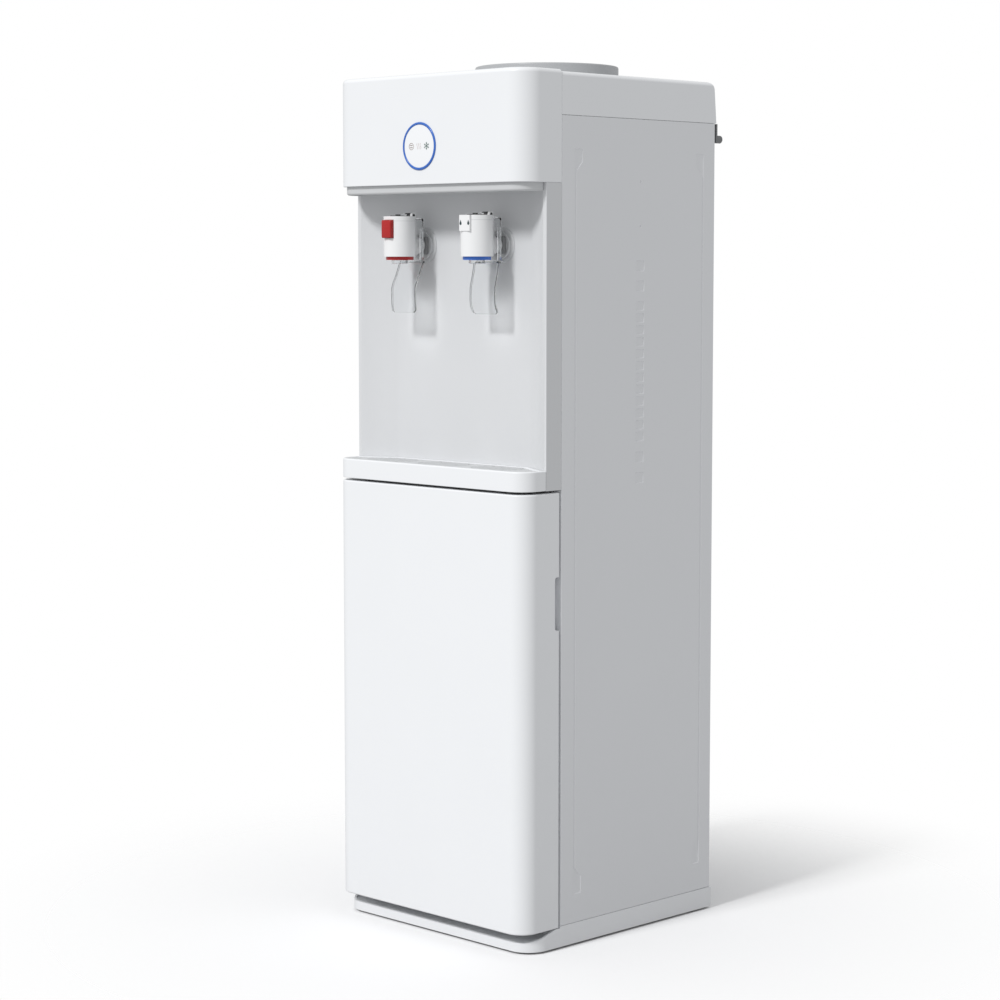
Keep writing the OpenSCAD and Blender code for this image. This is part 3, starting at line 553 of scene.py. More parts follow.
def smooth_path(points, steps=8):
    """Catmull-Rom points through the given ones."""
    given = [Vector(p) for p in points]
    given = [given[0] * 2 - given[1], *given, given[-1] * 2 - given[-2]]
    path = []
    for a, b, c, d in zip(given, given[1:], given[2:], given[3:]):
        for k in range(steps):
            t = k / steps
            path.append(0.5 * (2 * b + (c - a) * t + (2 * a - 5 * b + 4 * c - d) * t * t
                               + (3 * b - a - 3 * c + d) * t ** 3))
    path.append(given[-2])
    return path


def cut_away(piece, cutter_bm):
    """Takes the cutter's shape out of the piece."""
    bmesh.ops.recalc_face_normals(cutter_bm, faces=cutter_bm.faces)
    mesh = bpy.data.meshes.new("cutter")
    cutter_bm.to_mesh(mesh)
    cutter_bm.free()
    cutter = bpy.data.objects.new("cutter", mesh)
    bpy.context.scene.collection.objects.link(cutter)
    boolean = piece.modifiers.new("Cut", "BOOLEAN")
    boolean.operation = "DIFFERENCE"
    boolean.solver = "EXACT"
    boolean.object = cutter
    for modifier in piece.modifiers:
        modifier.show_viewport = modifier == boolean
    bpy.context.view_layer.update()
    evaluated = piece.evaluated_get(bpy.context.evaluated_depsgraph_get())
    result = bpy.data.meshes.new_from_object(evaluated)
    piece.modifiers.remove(boolean)
    for modifier in piece.modifiers:
        modifier.show_viewport = True
    bm = bmesh.new()
    bm.from_mesh(result)
    bmesh.ops.remove_doubles(bm, verts=bm.verts, dist=1e-7)
    mark_smooth(bm)
    bm.to_mesh(piece.data)
    bm.free()
    bpy.data.objects.remove(cutter)
    bpy.data.meshes.remove(mesh)
    bpy.data.meshes.remove(result)


def arc_points(cx, cy, radius, start, end, steps):
    angles = [math.radians(start + (end - start) * i / steps) for i in range(steps + 1)]
    return [(cx + radius * math.cos(a), cy + radius * math.sin(a)) for a in angles]


def rounded_rectangle(half_x, half_y, radius, steps):
    """A rectangle round the origin with rounded corners, as points in its own plane."""
    outline = []
    for x, y, start in ((1, 1, 0), (-1, 1, 90), (-1, -1, 180), (1, -1, 270)):
        outline += arc_points(x * (half_x - radius), y * (half_y - radius), radius, start, start + 90, steps)
    return outline


def front_outline(half, front, rear, corner, steps=14):
    """Plan outline with two rounded front corners, starting at the rear left."""
    return [(-half, rear), *arc_points(corner - half, front + corner, corner, 180, 270, steps),
            *arc_points(half - corner, front + corner, corner, 270, 360, steps), (half, rear)]


def edge_levels(z0, z1, low, high, steps=6):
    """(inset, height) pairs up a wall whose bottom and top edges are rounded."""
    levels = [(low * (1 - math.sin(math.radians(a))), z0 + low * (1 - math.cos(math.radians(a))))
              for a in [90 * i / steps for i in range(steps + 1)]]
    levels += [(high * (1 - math.cos(math.radians(a))), z1 - high * (1 - math.sin(math.radians(a))))
               for a in [90 * i / steps for i in range(steps + 1)]]
    return levels


def front_rings(half, front, rear, corner, levels):
    return [[(x, y, z) for x, y in front_outline(half - inset, front + inset, rear, corner - inset)]
            for inset, z in levels]


# ---------- head, door, tray ----------

def build_head():
    low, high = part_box("head_fascia")
    corner, wall = HEAD_CORNER, sizes().shell_wall
    bm = bmesh.new()
    add_stack(bm, front_rings(high.x, low.y, high.y, corner, edge_levels(low.z, high.z, 0.7 * MM, 5 * MM)))
    piece = make_piece("head_shell", bm, "cabinet", shell_white(), ["head_fascia"])
    hollow = bmesh.new()
    add_stack(hollow, front_rings(high.x - wall, low.y + wall, high.y + wall, corner - wall,
                                  edge_levels(low.z + wall, high.z - wall, 1 * MM, 3 * MM, 3)))
    cut_away(piece, hollow)
    opening = bmesh.new()
    add_stack(opening, front_rings(high.x - 6 * MM, low.y + 6 * MM, high.y + wall, corner - 6 * MM,
                                   [(0, low.z - wall), (0, low.z + 2 * wall)]))
    cut_away(piece, opening)
    ring_low, ring_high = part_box("light_ring")
    centre = (ring_low + ring_high) / 2
    hole = bmesh.new()
    hole_r = 18 * MM
    add_lathe(hole, (centre.x, low.y - wall, centre.z),
              [(0, 0), (hole_r, 0), (hole_r, 4 * wall), (0, 4 * wall)], "Y", 64, closed=False)
    cut_away(piece, hole)
    add_bevel(piece, 0.3 * MM, 2)
    build_trim()
    dress_node("top_cover", shell_white(), bevel=0.8 * MM)


def build_trim():
    """Grey band under the head, with a rounded lower edge, and the ceiling sheet behind it."""
    low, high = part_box("head_trim")
    head_low, head_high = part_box("head_fascia")
    column, rear = head_low.y + BAY_FRONT, head_high.y
    corner = HEAD_CORNER - 4 * MM
    band, lining = 3 * MM, 2.6 * MM
    bm = bmesh.new()
    add_stack(bm, front_rings(high.x, low.y, rear - band, corner,
                              edge_levels(low.z, high.z, 2.6 * MM, 0.3 * MM)))
    piece = make_piece("head_band", bm, "cabinet", trim_grey(), ["head_trim"])
    hollow = bmesh.new()
    add_stack(hollow, front_rings(high.x - band, low.y + band, rear + band, corner - band,
                                  [(0, low.z - band), (0, high.z + band)]))
    cut_away(piece, hollow)
    behind = bmesh.new()
    add_block(behind, (-2 * high.x, column - 0.5 * MM, low.z - band),
              (2 * high.x, rear + band, high.z + band))
    cut_away(piece, behind)
    add_bevel(piece, 0.4 * MM, 2)
    slant = (high.y - column) / (rear + MM - column)
    outline = [(x, y) for x, y in front_outline(high.x - band, low.y + band, rear, corner - band)
               if y < column - MM]
    foot = high.x - 5 * MM
    outline += [(foot, column - 0.5 * MM), (foot - 37 * MM * slant, high.y), (37 * MM * slant - foot, high.y),
                (-foot, column - 0.5 * MM)]
    bm = bmesh.new()
    add_stack(bm, [[(x, y, z) for x, y in outline] for z in (high.z - lining, high.z - 0.1 * MM)])
    make_piece("head_ceiling", bm, "cabinet", trim_grey(), bevel=0.2 * MM, segments=1)


def build_door():
    low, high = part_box("door_panel")
    corner, wall = DOOR_CORNER, sizes().shell_wall
    bm = bmesh.new()
    add_stack(bm, front_rings(high.x, low.y, high.y, corner, edge_levels(low.z, high.z, 1.8 * MM, 1.8 * MM)))
    piece = make_piece("door_shell", bm, "door", shell_white(), ["door_panel"])
    hollow = bmesh.new()
    add_stack(hollow, front_rings(high.x - wall, low.y + wall, high.y + wall, corner - wall,
                                  [(0, low.z + wall), (0, high.z - wall)]))
    cut_away(piece, hollow)
    pull_z = low.z + 328.6 * MM
    frame_bm = bmesh.new()
    add_block(frame_bm, (high.x - 14 * MM, high.y - 10 * MM, pull_z - 3 * MM),
              (high.x - wall + 0.1 * MM, high.y, pull_z + 62 * MM))
    surround = make_piece("door_pull_surround", frame_bm, "door", shell_white())
    for target in (piece, surround):
        recess = bmesh.new()
        add_stack(recess, [[(high.x - 11.5 * MM, y, z) for y, z in pull_section(high, pull_z, 1.5 * MM)],
                           [(high.x + 3 * MM, y, z) for y, z in pull_section(high, pull_z, 0.0)]])
        cut_away(target, recess)
        add_bevel(target, 0.7 * MM, 3)
    hinge = Vector(JOINTS["door_hinge"]["pos_m"])
    pin_r, boss_r, boss_height = 3.1 * MM, 6.6 * MM, 14.5 * MM
    bosses = bmesh.new()
    for z0 in (low.z + wall - 0.1 * MM, high.z - 17 * MM):
        add_lathe(bosses, (hinge.x, hinge.y, z0),
                  [(pin_r, 0), (boss_r, 0), (boss_r, boss_height), (pin_r, boss_height)], segments=40)
    make_piece("door_hinge_bosses", bosses, "door", shell_white())
    pins = bmesh.new()
    for z0 in (low.z - wall, high.z - 2 * wall):
        add_lathe(pins, (hinge.x, hinge.y, z0), [(0, 0), (pin_r, 0), (pin_r, 3 * wall), (0, 3 * wall)],
                  segments=40, closed=False)
    cut_away(piece, pins)
    dress_node("door_liner", bevel=0.6 * MM)
    dress_node("door_gasket", bevel=0.25 * MM)
    dress_node("door_keeper", bevel=0.2 * MM)
    # Soft fold along the magnetic gasket
    bellows = bmesh.new()
    gasket_low, gasket_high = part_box("door_gasket")
    y = gasket_low.y + 0.2 * MM
    inset = 2.6 * MM
    x0, x1 = gasket_low.x + inset, gasket_high.x - inset
    z0, z1 = gasket_low.z + inset, gasket_high.z - inset
    corners = [(x0, y, z0), (x1, y, z0), (x1, y, z1), (x0, y, z1), (x0, y, z0)]
    for a, b in zip(corners, corners[1:]):
        add_tube(bellows, [a, b], 0.5 * MM, 10)
    make_piece("door_gasket_bead", bellows, "door", gasket_grey())


def pull_section(high, z, taper):
    """The finger pull's opening in the plane of the door's side, rounded at its corners."""
    y0, y1 = high.y - 6.5 * MM + taper, high.y + 4 * MM
    z0, z1 = z + taper, z + 59 * MM - taper
    r = 3 * MM
    return [(y1, z0), *arc_points(y0 + r, z0 + r, r, 270, 180, 6), *arc_points(y0 + r, z1 - r, r, 180, 90, 6),
            (y1, z1)]


def tray_outline(low, high, inset):
    """The tray's plan: rounded front corners and a narrower rear between the slanted walls."""
    corner = DOOR_CORNER
    shoulder = low.y + 36.3 * MM
    rear_half = 105 * MM
    return [(-rear_half + inset, high.y - inset), (-high.x + 6.4 * MM + 1.6 * inset, shoulder - inset),
            (-high.x + inset, shoulder - inset),
            *arc_points(corner - high.x, low.y + corner, corner - inset, 180, 270, 12),
            *arc_points(high.x - corner, low.y + corner, corner - inset, 270, 360, 12),
            (high.x - inset, shoulder - inset), (high.x - 6.4 * MM - 1.6 * inset, shoulder - inset),
            (rear_half - inset, high.y - inset)]


def build_tray():
    low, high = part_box("drip_tray")
    levels = edge_levels(low.z, high.z, 0.8 * MM, 1.6 * MM, 4)
    levels += [(3.2 * MM, high.z), (4.0 * MM, high.z - 0.6 * MM), (4.0 * MM, high.z - 3.4 * MM),
               (7.5 * MM, high.z - 3.4 * MM), (7.9 * MM, low.z + 7 * MM), (10.5 * MM, low.z + 4.9 * MM)]
    bm = bmesh.new()
    add_stack(bm, [[(x, y, z) for x, y in tray_outline(low, high, inset)] for inset, z in levels])
    piece = make_piece("tray_basin", bm, "drip_tray", shell_white(), ["drip_tray"])
    under = bmesh.new()
    add_block(under, (low.x + 11.4 * MM, low.y + 5.4 * MM, low.z - 1.2 * MM),
              (high.x - 11.4 * MM, high.y + 2.6 * MM, low.z + 2.2 * MM))
    cut_away(piece, under)
    add_bevel(piece, 0.3 * MM, 2)
    build_grille(low, high)


def build_grille(tray_low, tray_high):
    """Lift-out plate with three rounded fields of slots, each inside a fine rim."""
    low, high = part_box("drip_grille")
    inset = 4.4 * MM
    bm = bmesh.new()
    levels = ((0.3 * MM, low.z), (0, low.z + 0.3 * MM), (0, high.z - 0.5 * MM), (0.2 * MM, high.z - 0.2 * MM),
              (0.5 * MM, high.z - 0.05 * MM))
    add_stack(bm, [[(x, y, z) for x, y in tray_outline(tray_low, tray_high, inset + k)] for k, z in levels])
    piece = make_piece("grille_plate", bm, "drip_grille", trim_grey(), ["drip_grille"])
    slots = bmesh.new()
    rims = bmesh.new()
    middle_y = tray_low.y + 29 * MM
    for x in (-84 * MM, 0, 84 * MM):
        for i in range(-3, 4):
            half = 36 * MM * math.sqrt(1 - (i / 4.2) ** 2)
            y = middle_y + i * 5.2 * MM
            r = 1.3 * MM
            ends = arc_points(x + half - r, y, r, -90, 90, 5) + arc_points(x - half + r, y, r, 90, 270, 5)
            add_stack(slots, [[(px, py, z) for px, py in ends] for z in (low.z - MM, high.z + MM)])
        ring = [(x + 38 * MM * math.cos(2 * math.pi * k / 64),
                 max(tray_low.y + 8 * MM, middle_y + 20.6 * MM * math.sin(2 * math.pi * k / 64)),
                 high.z - 0.28 * MM)
                for k in range(65)]
        add_tube(rims, ring, 0.25 * MM, 6)
    cut_away(piece, slots)
    make_piece("grille_rims", rims, "drip_grille", spacer_grey())


# ---------- indicator ----------

def add_ribbon(bm, points, width, y0, y1):
    """A flat strip along points in the XZ plane, from y0 to y1."""
    line = [Vector((p[0], 0.0, p[1])) for p in points]
    left, right = [], []
    for i, point in enumerate(line):
        along = (line[min(i + 1, len(line) - 1)] - line[max(i - 1, 0)]).normalized()
        side = Vector((-along.z, 0.0, along.x)) * width / 2
        left.append(point + side)
        right.append(point - side)
    outline = left + right[::-1]
    add_stack(bm, [[(p.x, y, p.z) for p in outline] for y in (y0, y1)])


def build_indicator():
    ring_low, ring_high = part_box("light_ring")
    centre = (ring_low + ring_high) / 2
    outer = (ring_high.x - ring_low.x) / 2
    inner = outer - 2.9 * MM
    back, front = ring_high.y, ring_low.y
    middle, half = (outer + inner) / 2, (outer - inner) / 2
    crown = [(middle - half * math.cos(math.radians(a)),
              front + half * 0.75 * (1 - math.sin(math.radians(a)))) for a in range(0, 181, 20)]
    bm = bmesh.new()
    add_lathe(bm, (centre.x, 0.0, centre.z), [(inner, back), *crown, (outer, back)], "Y", 128)
    make_piece("indicator_ring", bm, "cabinet", ring_blue(), ["light_ring"])
    lens_low, lens_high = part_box("indicator_lens")
    rim, stem = (lens_high.x - lens_low.x) / 2, 17.6 * MM
    dome = [(rim * k / 10, lens_low.y + 0.35 * MM * (k / 10) ** 2) for k in range(11)]
    bm = bmesh.new()
    add_lathe(bm, (centre.x, 0.0, centre.z),
              [*dome, (rim, ring_high.y), (stem, ring_high.y), (stem, lens_high.y), (0, lens_high.y)],
              "Y", 128, closed=False)
    make_piece("indicator_dome", bm, "cabinet", lens_white(), ["indicator_lens"])
    y0, y1 = lens_low.y - sizes().icon_relief, lens_low.y + 0.45 * MM
    pitch = 12 * MM
    # Left: a small ring with two level bars
    bm = bmesh.new()
    left = centre.x - pitch
    add_lathe(bm, (left, 0.0, centre.z), [(3.3 * MM, y1), (3.3 * MM, y0), (3.8 * MM, y0), (3.8 * MM, y1)],
              "Y", 40)
    for dz in (-1.2 * MM, 1.2 * MM):
        add_ribbon(bm, [(left - 1.9 * MM, centre.z + dz), (left + 1.9 * MM, centre.z + dz)], 0.9 * MM, y0, y1)
    make_piece("icon_level", bm, "cabinet", icon_material("Icon_Brown", (0.36, 0.30, 0.27)))
    # Middle: three rising wisps
    bm = bmesh.new()
    for dx in (-2.6 * MM, 0.0, 2.6 * MM):
        wave = [(centre.x + dx + 0.7 * MM * math.sin(k * math.pi / 6), centre.z + (k - 6) * 0.55 * MM)
                for k in range(13)]
        add_ribbon(bm, wave, 0.6 * MM, y0, y1)
    make_piece("icon_warm", bm, "cabinet", icon_material("Icon_Rose", (0.62, 0.55, 0.54)))
    # Right: a six-armed crystal
    bm = bmesh.new()
    right = centre.x + pitch
    for k in range(6):
        angle = math.radians(30 + 60 * k)
        direction = Vector((math.cos(angle), math.sin(angle)))
        tip = direction * 4.2 * MM
        add_ribbon(bm, [(right, centre.z), (right + tip.x, centre.z + tip.y)], 0.75 * MM, y0, y1)
        twig = direction * 2.4 * MM
        for turn in (math.radians(-50), math.radians(50)):
            end = twig + Vector((math.cos(angle + turn), math.sin(angle + turn))) * 1.3 * MM
            add_ribbon(bm, [(right + twig.x, centre.z + twig.y), (right + end.x, centre.z + end.y)],
                       0.5 * MM, y0, y1)
    make_piece("icon_cool", bm, "cabinet", icon_material("Icon_Grey_Green", (0.20, 0.27, 0.25)))
    dress_node("indicator_board", bevel=0.1 * MM)


# ---------- dispensing bay ----------

def build_bay():
    # The bay wall takes the shell's white darkened, as painted shade of the recess
    dress_node("niche_panel", shaded_bay_white(), bevel=1.0 * MM)


def build_wall_plates():
    for name in ("hot", "cold"):
        low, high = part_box(name + "_escutcheon")
        centre = (low + high) / 2
        profile = [(8.3, 0.0), (20.0, 0.0), (20.0, 0.5), (19.6, 0.9), (18.9, 1.15), (17.6, 1.3), (16.6, 1.3),
                   (16.3, 0.9), (15.9, 0.9), (15.2, 1.2), (15.2, 2.9), (14.9, 3.4), (14.3, 3.6), (13.2, 3.6),
                   (12.9, 3.2), (8.3, 3.2)]
        bm = bmesh.new()
        add_lathe(bm, (centre.x, high.y, centre.z), [(r * MM, -h * MM) for r, h in profile], "Y", 96)
        make_piece(name + "_wall_plate", bm, "cabinet", plate_grey(),
                   [name + "_escutcheon"])
        bm = bmesh.new()
        square = rounded_rectangle(9.8 * MM, 9.8 * MM, 2 * MM, 4)
        rings = [[(centre.x + x * k, y, centre.z + z * k) for x, z in square]
                 for k, y in ((1.0, high.y - 3.1 * MM), (1.0, low.y + 0.5 * MM), (0.94, low.y))]
        add_stack(bm, rings)
        nut = make_piece(name + "_square_nut", bm, "cabinet", nut_grey())
        bore = bmesh.new()
        add_lathe(bore, (centre.x, low.y - MM, centre.z),
                  [(0, 0), (8.3 * MM, 0), (8.3 * MM, 9 * MM), (0, 9 * MM)], "Y", 48, closed=False)
        cut_away(nut, bore)
        add_bevel(nut, 0.3 * MM, 2)
        dress_node(name + "_shank", bevel=0.4 * MM)
        # Thread on the shank behind the lock nut
        thread_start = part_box(name + "_shank")[1].y - 13 * MM
        thread = bmesh.new()
        turns, per_turn, pitch, thread_r = 6, 24, 1.75 * MM, 8.05 * MM
        path = [(centre.x + thread_r * math.cos(2 * math.pi * k / per_turn),
                 thread_start + pitch * k / per_turn,
                 centre.z + thread_r * math.sin(2 * math.pi * k / per_turn))
                for k in range(turns * per_turn)]
        add_tube(thread, path, 0.45 * MM, 6)
        make_piece(name + "_shank_thread", thread, "cabinet", tap_white())


def tap_axis(name):
    """Centre line and radius of a tap's barrel, and the height of its flat top."""
    low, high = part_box(name + "_tap_body")
    radius = (high.x - low.x) / 2
    return Vector(((low.x + high.x) / 2, high.y - 24 * MM, 0.0)), radius, high.z - 4.2 * MM


def build_taps():
    for name in ("hot", "cold"):
        axis, radius, top = tap_axis(name)
        dress_node(name + "_tap_body", bevel=0.7 * MM)
        dress_node(name + "_tap_ring", bevel=0.5 * MM)
        dress_node(name + "_nozzle", bevel=0.4 * MM)
        dress_node(name + "_plunger", bevel=0.3 * MM)
        # Cap seam round the barrel and the dark slot piece on top
        bm = bmesh.new()
        seam = top - 5.2 * MM
        inside, outside = radius - 0.5 * MM, radius + 0.02 * MM
        add_lathe(bm, (axis.x, axis.y, seam),
                  [(inside, -0.25 * MM), (outside, -0.22 * MM), (outside, 0.22 * MM), (inside, 0.25 * MM)],
                  segments=96)
        make_piece(name + "_cap_seam", bm, "cabinet", plate_grey())
        bm = bmesh.new()
        slot = rounded_rectangle(6.2 * MM, 10.2 * MM, 2 * MM, 5)
        add_stack(bm, [[(axis.x + x * k, axis.y + y * k, z) for x, y in slot]
                       for k, z in ((1.0, top - 0.2 * MM), (1.0, top + 0.7 * MM), (0.95, top + 0.9 * MM))])
        slot_piece = make_piece(name + "_slot_bezel", bm, "cabinet", soft_black())
        gap = bmesh.new()
        add_block(gap, (axis.x - 5.0 * MM, axis.y - 8.9 * MM, top - 5 * MM),
                  (axis.x + 5.0 * MM, axis.y + 30 * MM, top + 5 * MM))
        cut_away(slot_piece, gap)
    build_lock_button()
    build_drop_marks()


def build_lock_button():
    low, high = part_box("lock_button")
    middle, half = (low + high) / 2, (high - low) / 2
    bm = bmesh.new()
    rings = []
    for y, k in ((high.y, 0.0), (low.y + 0.9 * MM, 0.0), (low.y + 0.35 * MM, 0.35 * MM), (low.y, 1.0 * MM)):
        outline = rounded_rectangle(half.x - k, half.z - k, 1.6 * MM, 5)
        rings.append([(middle.x + x, y, middle.z + z) for x, z in outline])
    add_stack(bm, rings)
    # Finger ridges across the face
    for k in range(3):
        z = low.z + (5.4 + 3.6 * k) * MM
        add_tube(bm, [(low.x + 2.6 * MM, low.y + 0.4 * MM, z), (high.x - 2.6 * MM, low.y + 0.4 * MM, z)],
                 0.45 * MM, 8)
    make_piece("lock_slider", bm, "lock", hot_red(), ["lock_button"])


def build_drop_marks():
    axis, _, top = tap_axis("cold")
    bm = bmesh.new()
    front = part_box("cold_tap_body")[0].y
    drop_r = 1.65 * MM
    for side in SIDES:
        x = axis.x + side * 5.9 * MM
        z = top - 9.2 * MM
        drop = [(x + drop_r * math.sin(math.radians(a)), z - drop_r * math.cos(math.radians(a)))
                for a in range(-110, 111, 20)] + [(x, z + 4.1 * MM)]
        add_stack(bm, [[(px, y, pz) for px, pz in drop] for y in (front + 0.25 * MM, front + 1.15 * MM)])
    make_piece("cold_drop_marks", bm, "cabinet", mark_teal())


# ---------- levers ----------

def lever_curve(name):
    """Side view of a lever from the tongue, over the pivot and down to the paddle's lip, as (y, z) points."""
    low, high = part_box(name + "_lever")
    body_axis = tap_axis(name)[0].y
    half_thick = sizes().lever_thickness / 2
    pivot = Vector(JOINTS[name + "_lever_pivot"]["pos_m"])
    rear = high.y - half_thick - 0.3 * MM
    lip = paddle_depth(name) + half_thick
    back = {"hot": 1.2 * MM, "cold": 5 * MM}[name]
    knee = body_axis + {"hot": 17.4 * MM, "cold": 14.8 * MM}[name]
    top = pivot.z - 2.4 * MM
    knots = [(body_axis - 2.6 * MM, pivot.z - 0.2 * MM), (body_axis + 6 * MM, pivot.z), (pivot.y, pivot.z),
             (pivot.y + 4 * MM, pivot.z - 1.1 * MM), (rear - 2.4 * MM, top - half_thick),
             (rear, top - 4.2 * MM), (rear, top - 20 * MM), (rear, top - 36 * MM), (rear, top - 45.5 * MM),
             (rear - 1.2 * MM, top - 48.9 * MM), (knee + 1.6 * MM, top - 49.6 * MM), (knee, top - 51.6 * MM),
             (knee + (lip - knee) * 0.4, top - 63 * MM), (knee + (lip - knee) * 0.9, top - 75 * MM),
             (lip, top - 80 * MM), (lip, top - 92 * MM), (lip + back * 0.3, top - 99 * MM),
             (lip + back, low.z + 0.9 * MM)]
    return [(p.x, p.y) for p in smooth_path([Vector((y, z, 0)) for y, z in knots], 6)], top


def paddle_depth(name):
    return tap_axis(name)[0].y + {"hot": 4.5 * MM, "cold": 7.6 * MM}[name]


def lever_spans(height, forward, top, low_z):
    """The lever's solid stretches across its width at one place along it, in millimetres from its middle."""
    if forward:
        return [(-4.2, 4.2)]
    drop = (top - height) / MM
    if drop < 13.4:
        return [(-16, 16)]
    if drop < 47.2:
        return [(-16, -12), (12, 16)]
    left = (height - low_z) / MM
    if left < 6:
        edge = 19 - (6 - math.sqrt(max(0.0, 36 - (6 - left) ** 2)))
        return [(-edge, edge)]
    return [(-19, 19)]


def build_levers():
    for name in ("hot", "cold"):
        low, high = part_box(name + "_lever")
        middle = (low.x + high.x) / 2
        curve, top = lever_curve(name)
        columns = [-19, -16, -12, -8, -4.2, 0, 4.2, 8, 12, 16, 19]
        bm = bmesh.new()
        grid = []
        for y, z in curve:
            forward = y < high.y - 3.1 * MM and z > top - 6 * MM
            spans = lever_spans(z, forward, top, low.z)
            edge = max(b for a, b in spans)
            row = [bm.verts.new((middle + max(-edge, min(edge, x)) * MM, y, z)) for x in columns]
            grid.append((row, spans, edge))
        for (row_a, spans_a, edge_a), (row_b, spans_b, edge_b) in zip(grid, grid[1:]):
            for i in range(len(columns) - 1):
                mid = (columns[i] + columns[i + 1]) / 2
                clamp = min(edge_a, edge_b)
                inside = all(any(a - 0.01 <= max(-clamp, min(clamp, mid)) <= b + 0.01 for a, b in spans)
                             for spans in (spans_a, spans_b))
                if inside and abs(mid) < max(edge_a, edge_b) + 0.01:
                    corners = (row_a[i], row_a[i + 1], row_b[i + 1], row_b[i])
                    if bm_area(corners) > 1e-10:
                        bm.faces.new(corners)
        loose = [v for v in bm.verts if not v.link_faces]
        bmesh.ops.delete(bm, geom=loose, context="VERTS")
        bmesh.ops.remove_doubles(bm, verts=bm.verts, dist=1e-6)
        piece = make_piece(name + "_lever_clear", bm, name + "_lever", clear_plastic(),
                           [name + "_lever"])
        thick = piece.modifiers.new("Thickness", "SOLIDIFY")
        thick.thickness = sizes().lever_thickness
        thick.offset = 0.0
        add_bevel(piece, 0.5 * MM, 2, math.radians(50))
        pivot = Vector(JOINTS[name + "_lever_pivot"]["pos_m"])
        bm = bmesh.new()
        bead = 1.15 * MM
        for side in SIDES:
            upper = [(middle + side * 14.8 * MM, y, z) for y, z in curve
                     if top - 46 * MM < z < top - 3 * MM and y > high.y - 3.1 * MM]
            lower = [(middle + side * 17.8 * MM, y, z) for y, z in curve
                     if low.z + 2 * MM < z < top - 50.5 * MM]
            add_tube(bm, upper, bead, 12)
            add_tube(bm, lower, bead, 12)
        make_piece(name + "_lever_beads", bm, name + "_lever", clear_plastic())
        bm = bmesh.new()
        add_lathe(bm, (middle, pivot.y, pivot.z),
                  [(0, -8.6 * MM), (1.3 * MM, -8.6 * MM), (1.6 * MM, -8.2 * MM), (1.6 * MM, -4.4 * MM),
                   (2.7 * MM, -4.4 * MM), (2.7 * MM, 4.4 * MM), (1.6 * MM, 4.4 * MM), (1.6 * MM, 8.2 * MM),
                   (1.3 * MM, 8.6 * MM), (0, 8.6 * MM)], "X", 32, closed=False)
        make_piece(name + "_lever_pin", bm, name + "_lever", soft_black())


def bm_area(corners):
    a, b, c, d = (v.co for v in corners)
    return ((c - a).cross(d - b)).length / 2


# ---------- bottle seat ----------

def build_bottle_seat():
    low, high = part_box("bottle_collar")
    centre = (low + high) / 2
    outer = (high.x - low.x) / 2
    top, ledge = high.z, high.z - 33.7 * MM
    neck = 34 * MM
    profile = [(outer - 3 * MM, ledge), (outer - 0.3 * MM, ledge), (outer, ledge + 0.3 * MM),
               *[(outer - 1.6 * MM + 1.6 * MM * math.cos(math.radians(a)),
                  top - 1.6 * MM + 1.6 * MM * math.sin(math.radians(a))) for a in range(0, 91, 15)],
               *[(outer - 4.2 * MM + 1.8 * MM * math.sin(math.radians(-a)),
                  top - 1.8 * MM + 1.8 * MM * math.cos(math.radians(-a))) for a in range(15, 91, 15)],
               (outer - 6.3 * MM, top - 5 * MM), (outer - 6.6 * MM, top - 12 * MM),
               (outer - 8 * MM, top - 14.5 * MM), (neck + 4 * MM, top - 38.5 * MM),
               (neck + 1 * MM, top - 41 * MM), (neck, top - 43 * MM), (neck, low.z), (neck + 3 * MM, low.z),
               (neck + 3 * MM, top - 42.5 * MM), (neck + 5 * MM, top - 40.5 * MM),
               (outer - 4 * MM, top - 15.5 * MM)]
    bm = bmesh.new()
    add_lathe(bm, (centre.x, centre.y, 0.0), profile, segments=144)
    make_piece("bottle_collar_ring", bm, "bottle_seat", collar_grey(), ["bottle_collar"])
    # Soft seal on the funnel, under the bottle's shoulder
    bm = bmesh.new()
    seal_r, seal_z = outer - 7.4 * MM, top - 10 * MM
    ring = [(seal_r + 1.1 * MM * math.cos(math.radians(a)), seal_z + 1.1 * MM * math.sin(math.radians(a)))
            for a in range(0, 360, 30)]
    add_lathe(bm, (centre.x, centre.y, 0.0), ring, segments=96)
    make_piece("collar_seal", bm, "bottle_seat", gasket_grey())
    dress_node("water_probe", bevel=0.5 * MM)


# ---------- sides and base ----------

def groove_outline(middle, mirrored):
    """Pressed groove with a wider pad at each end, as (y, z) points; the second one is mirrored."""
    half, z0, z1 = 105.95 * MM, 57 * MM, 871 * MM
    points = [(-half, z0), (12.8 * MM - half, z0), (12.8 * MM - half, z0 + 19 * MM),
              (3.2 * MM - half, z0 + 29 * MM), (3.2 * MM - half, z1 - 24 * MM),
              (12.8 * MM - half, z1 - 14.5 * MM), (12.8 * MM - half, z1), (-half, z1)]
    if mirrored:
        points = [(-y, z) for y, z in reversed(points)]
    return [(middle + y, z) for y, z in points]


def soft_corners(points, radius, steps=3):
    """Rounds an outline's corners."""
    given = [Vector(p) for p in points]
    rounded = []
    for before, corner, after in zip(given[-1:] + given[:-1], given, given[1:] + given[:1]):
        reach = min(radius, (before - corner).length / 2.2, (after - corner).length / 2.2)
        start = corner + (before - corner).normalized() * reach
        end = corner + (after - corner).normalized() * reach
        for k in range(steps + 1):
            t = k / steps
            rounded.append(start * (1 - t) ** 2 + corner * 2 * t * (1 - t) + end * t * t)
    return rounded


def shrunk(points, inset):
    """The outline moved inwards; the points run anticlockwise."""
    moved = []
    for before, point, after in zip(points[-1:] + points[:-1], points, points[1:] + points[:1]):
        first = (point - before).normalized()
        second = (after - point).normalized()
        side = Vector((-first.y - second.y, first.x + second.x))
        side = side / max(0.35, side.length_squared / 2)
        moved.append(point + side * inset)
    return moved


